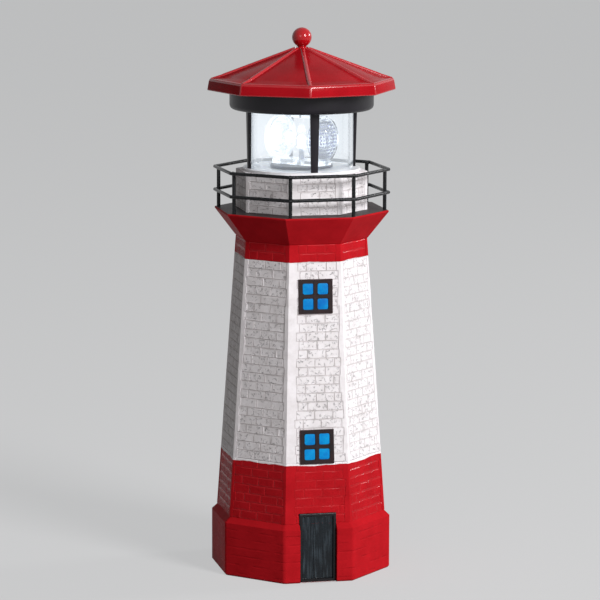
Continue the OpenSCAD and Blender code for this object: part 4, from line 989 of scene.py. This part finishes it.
# ---------- gear drive ----------
# A plated steel plate under the floor carries the motor and the idler's axle.
# The gears are natural nylon, and the motor's pinion is brass.
steel = moulded("plated_steel", colour(188, 190, 194), colour(168, 170, 175), 0.3, grain=0.5 * mm, metallic=1.0)
can_steel = moulded("motor_can", colour(196, 198, 202), colour(176, 178, 184), 0.26, grain=0.9 * mm,
                    metallic=1.0)
nylon = moulded("natural_nylon", colour(236, 234, 222), colour(224, 221, 206), 0.46, grain=0.9 * mm)
for node in ("gear_plate", "idler_axle", "motor_shaft"):
    dress(node, steel)
for node in ("drive_gear", "idler_gear"):
    dress(node, nylon)
dress("motor", can_steel)
dress("motor_pinion", brass)

# ---------- screws ----------
# Cross-slotted plated screws hold the roof, the gear plate, the bottom cover
# and the battery door.
screw_steel = moulded("screw_steel", colour(176, 178, 182), colour(150, 152, 157), 0.28, grain=0.3 * mm,
                      metallic=1.0)
for node in ("roof_screws", "drive_screws", "cover_screws", "door_screw"):
    dress(node, screw_steel)

# ---------- bottom cover and battery door ----------
# Satin black mouldings close the lantern from below: a round cover with the
# battery box and the switch slot, and a door over the cell.
cover_black = moulded("cover_black", colour(42, 43, 47), colour(50, 51, 55), 0.5, grain=0.5 * mm,
                      relief=0.06 * mm)
dress("bottom_cover", cover_black)
dress("battery_door", cover_black)

# ---------- cell ----------
# A rechargeable AA cell in a plain green sleeve, with a bright steel button
# and bare rims at both ends.
cell_finish = moulded("cell_wrap", colour(52, 132, 74), colour(44, 116, 64), 0.24, grain=1.6 * mm,
                      relief=0.02 * mm)
tree, shader = opened(cell_finish)
x = add(tree, "SeparateXYZ", "X", {"Vector": here(tree)})
bare = calc(tree, "MAXIMUM", calc(tree, "GREATER_THAN", x, 23.4 * mm), calc(tree, "LESS_THAN", x, -24.9 * mm))
feed(tree, shader, {
    "Base Color": mixed(tree, bare, fed(shader, "Base Color"), colour(196, 198, 200)), "Metallic": bare})
dress("battery", cell_finish)

# ---------- contacts ----------
# The cell sits between a folded steel plate at its button and a tapered coil
# spring at its flat end, in three close turns of plated wire.
dress("contact_plate", steel)
wire_r = 0.22 * mm
coil_r = 4.6 * mm
coil_h = 1.36 * mm
coil_turns = 3
steps = 32 * coil_turns
bm = bmesh.new()
bmesh.ops.create_circle(bm, cap_ends=False, segments=10, radius=wire_r,
                        matrix=Matrix.Translation((coil_r, 0, 0)) @ Matrix.Rotation(math.pi / 2, 4, "X"))
bmesh.ops.spin(bm, geom=bm.verts[:] + bm.edges[:], cent=(0, 0, 0), axis=(0, 0, 1), dvec=(0, 0, coil_h / steps),
               angle=math.radians(360 * coil_turns), steps=steps, use_merge=False)
bmesh.ops.remove_doubles(bm, verts=bm.verts, dist=1e-6)
for vert in bm.verts:
    vert.co.xy *= 1 - 0.42 * vert.co.z / coil_h
bmesh.ops.holes_fill(bm, edges=[edge for edge in bm.edges if edge.is_boundary], sides=12)
bmesh.ops.recalc_face_normals(bm, faces=bm.faces)
bmesh.ops.transform(bm, verts=bm.verts, matrix=(
    Matrix.Translation((-26.83 * mm, 4 * mm, 230.65 * mm)) @ Matrix.Rotation(math.pi / 2, 4, "Y")))
spring = finish_mesh(bm, "cell_spring", [steel], "lantern", smooth=50)
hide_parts("contact_spring")

# ---------- circuit board ----------
# A small green board that charges the cell by day and lights the lamp at
# dusk, with a black capacitor, chip and coil, on two posts of the cover.
board_top = 231.65 * mm
board_finish = moulded("circuit_green", colour(34, 108, 62), colour(26, 92, 52), 0.36, grain=0.8 * mm)
tree, shader = opened(board_finish)
z = add(tree, "SeparateXYZ", "Z", {"Vector": here(tree)})
fitted = calc(tree, "GREATER_THAN", z, board_top)
feed(tree, shader, {"Base Color": mixed(tree, fitted, fed(shader, "Base Color"), colour(34, 34, 38))})
dress("circuit_board", board_finish)

# ---------- power switch ----------
# A slide switch in a folded steel can, with a black knob that stands out of
# the cover.
dress("switch_body", can_steel)
dress("switch_slider", moulded("knob_black", colour(24, 24, 27), colour(34, 34, 38), 0.4))
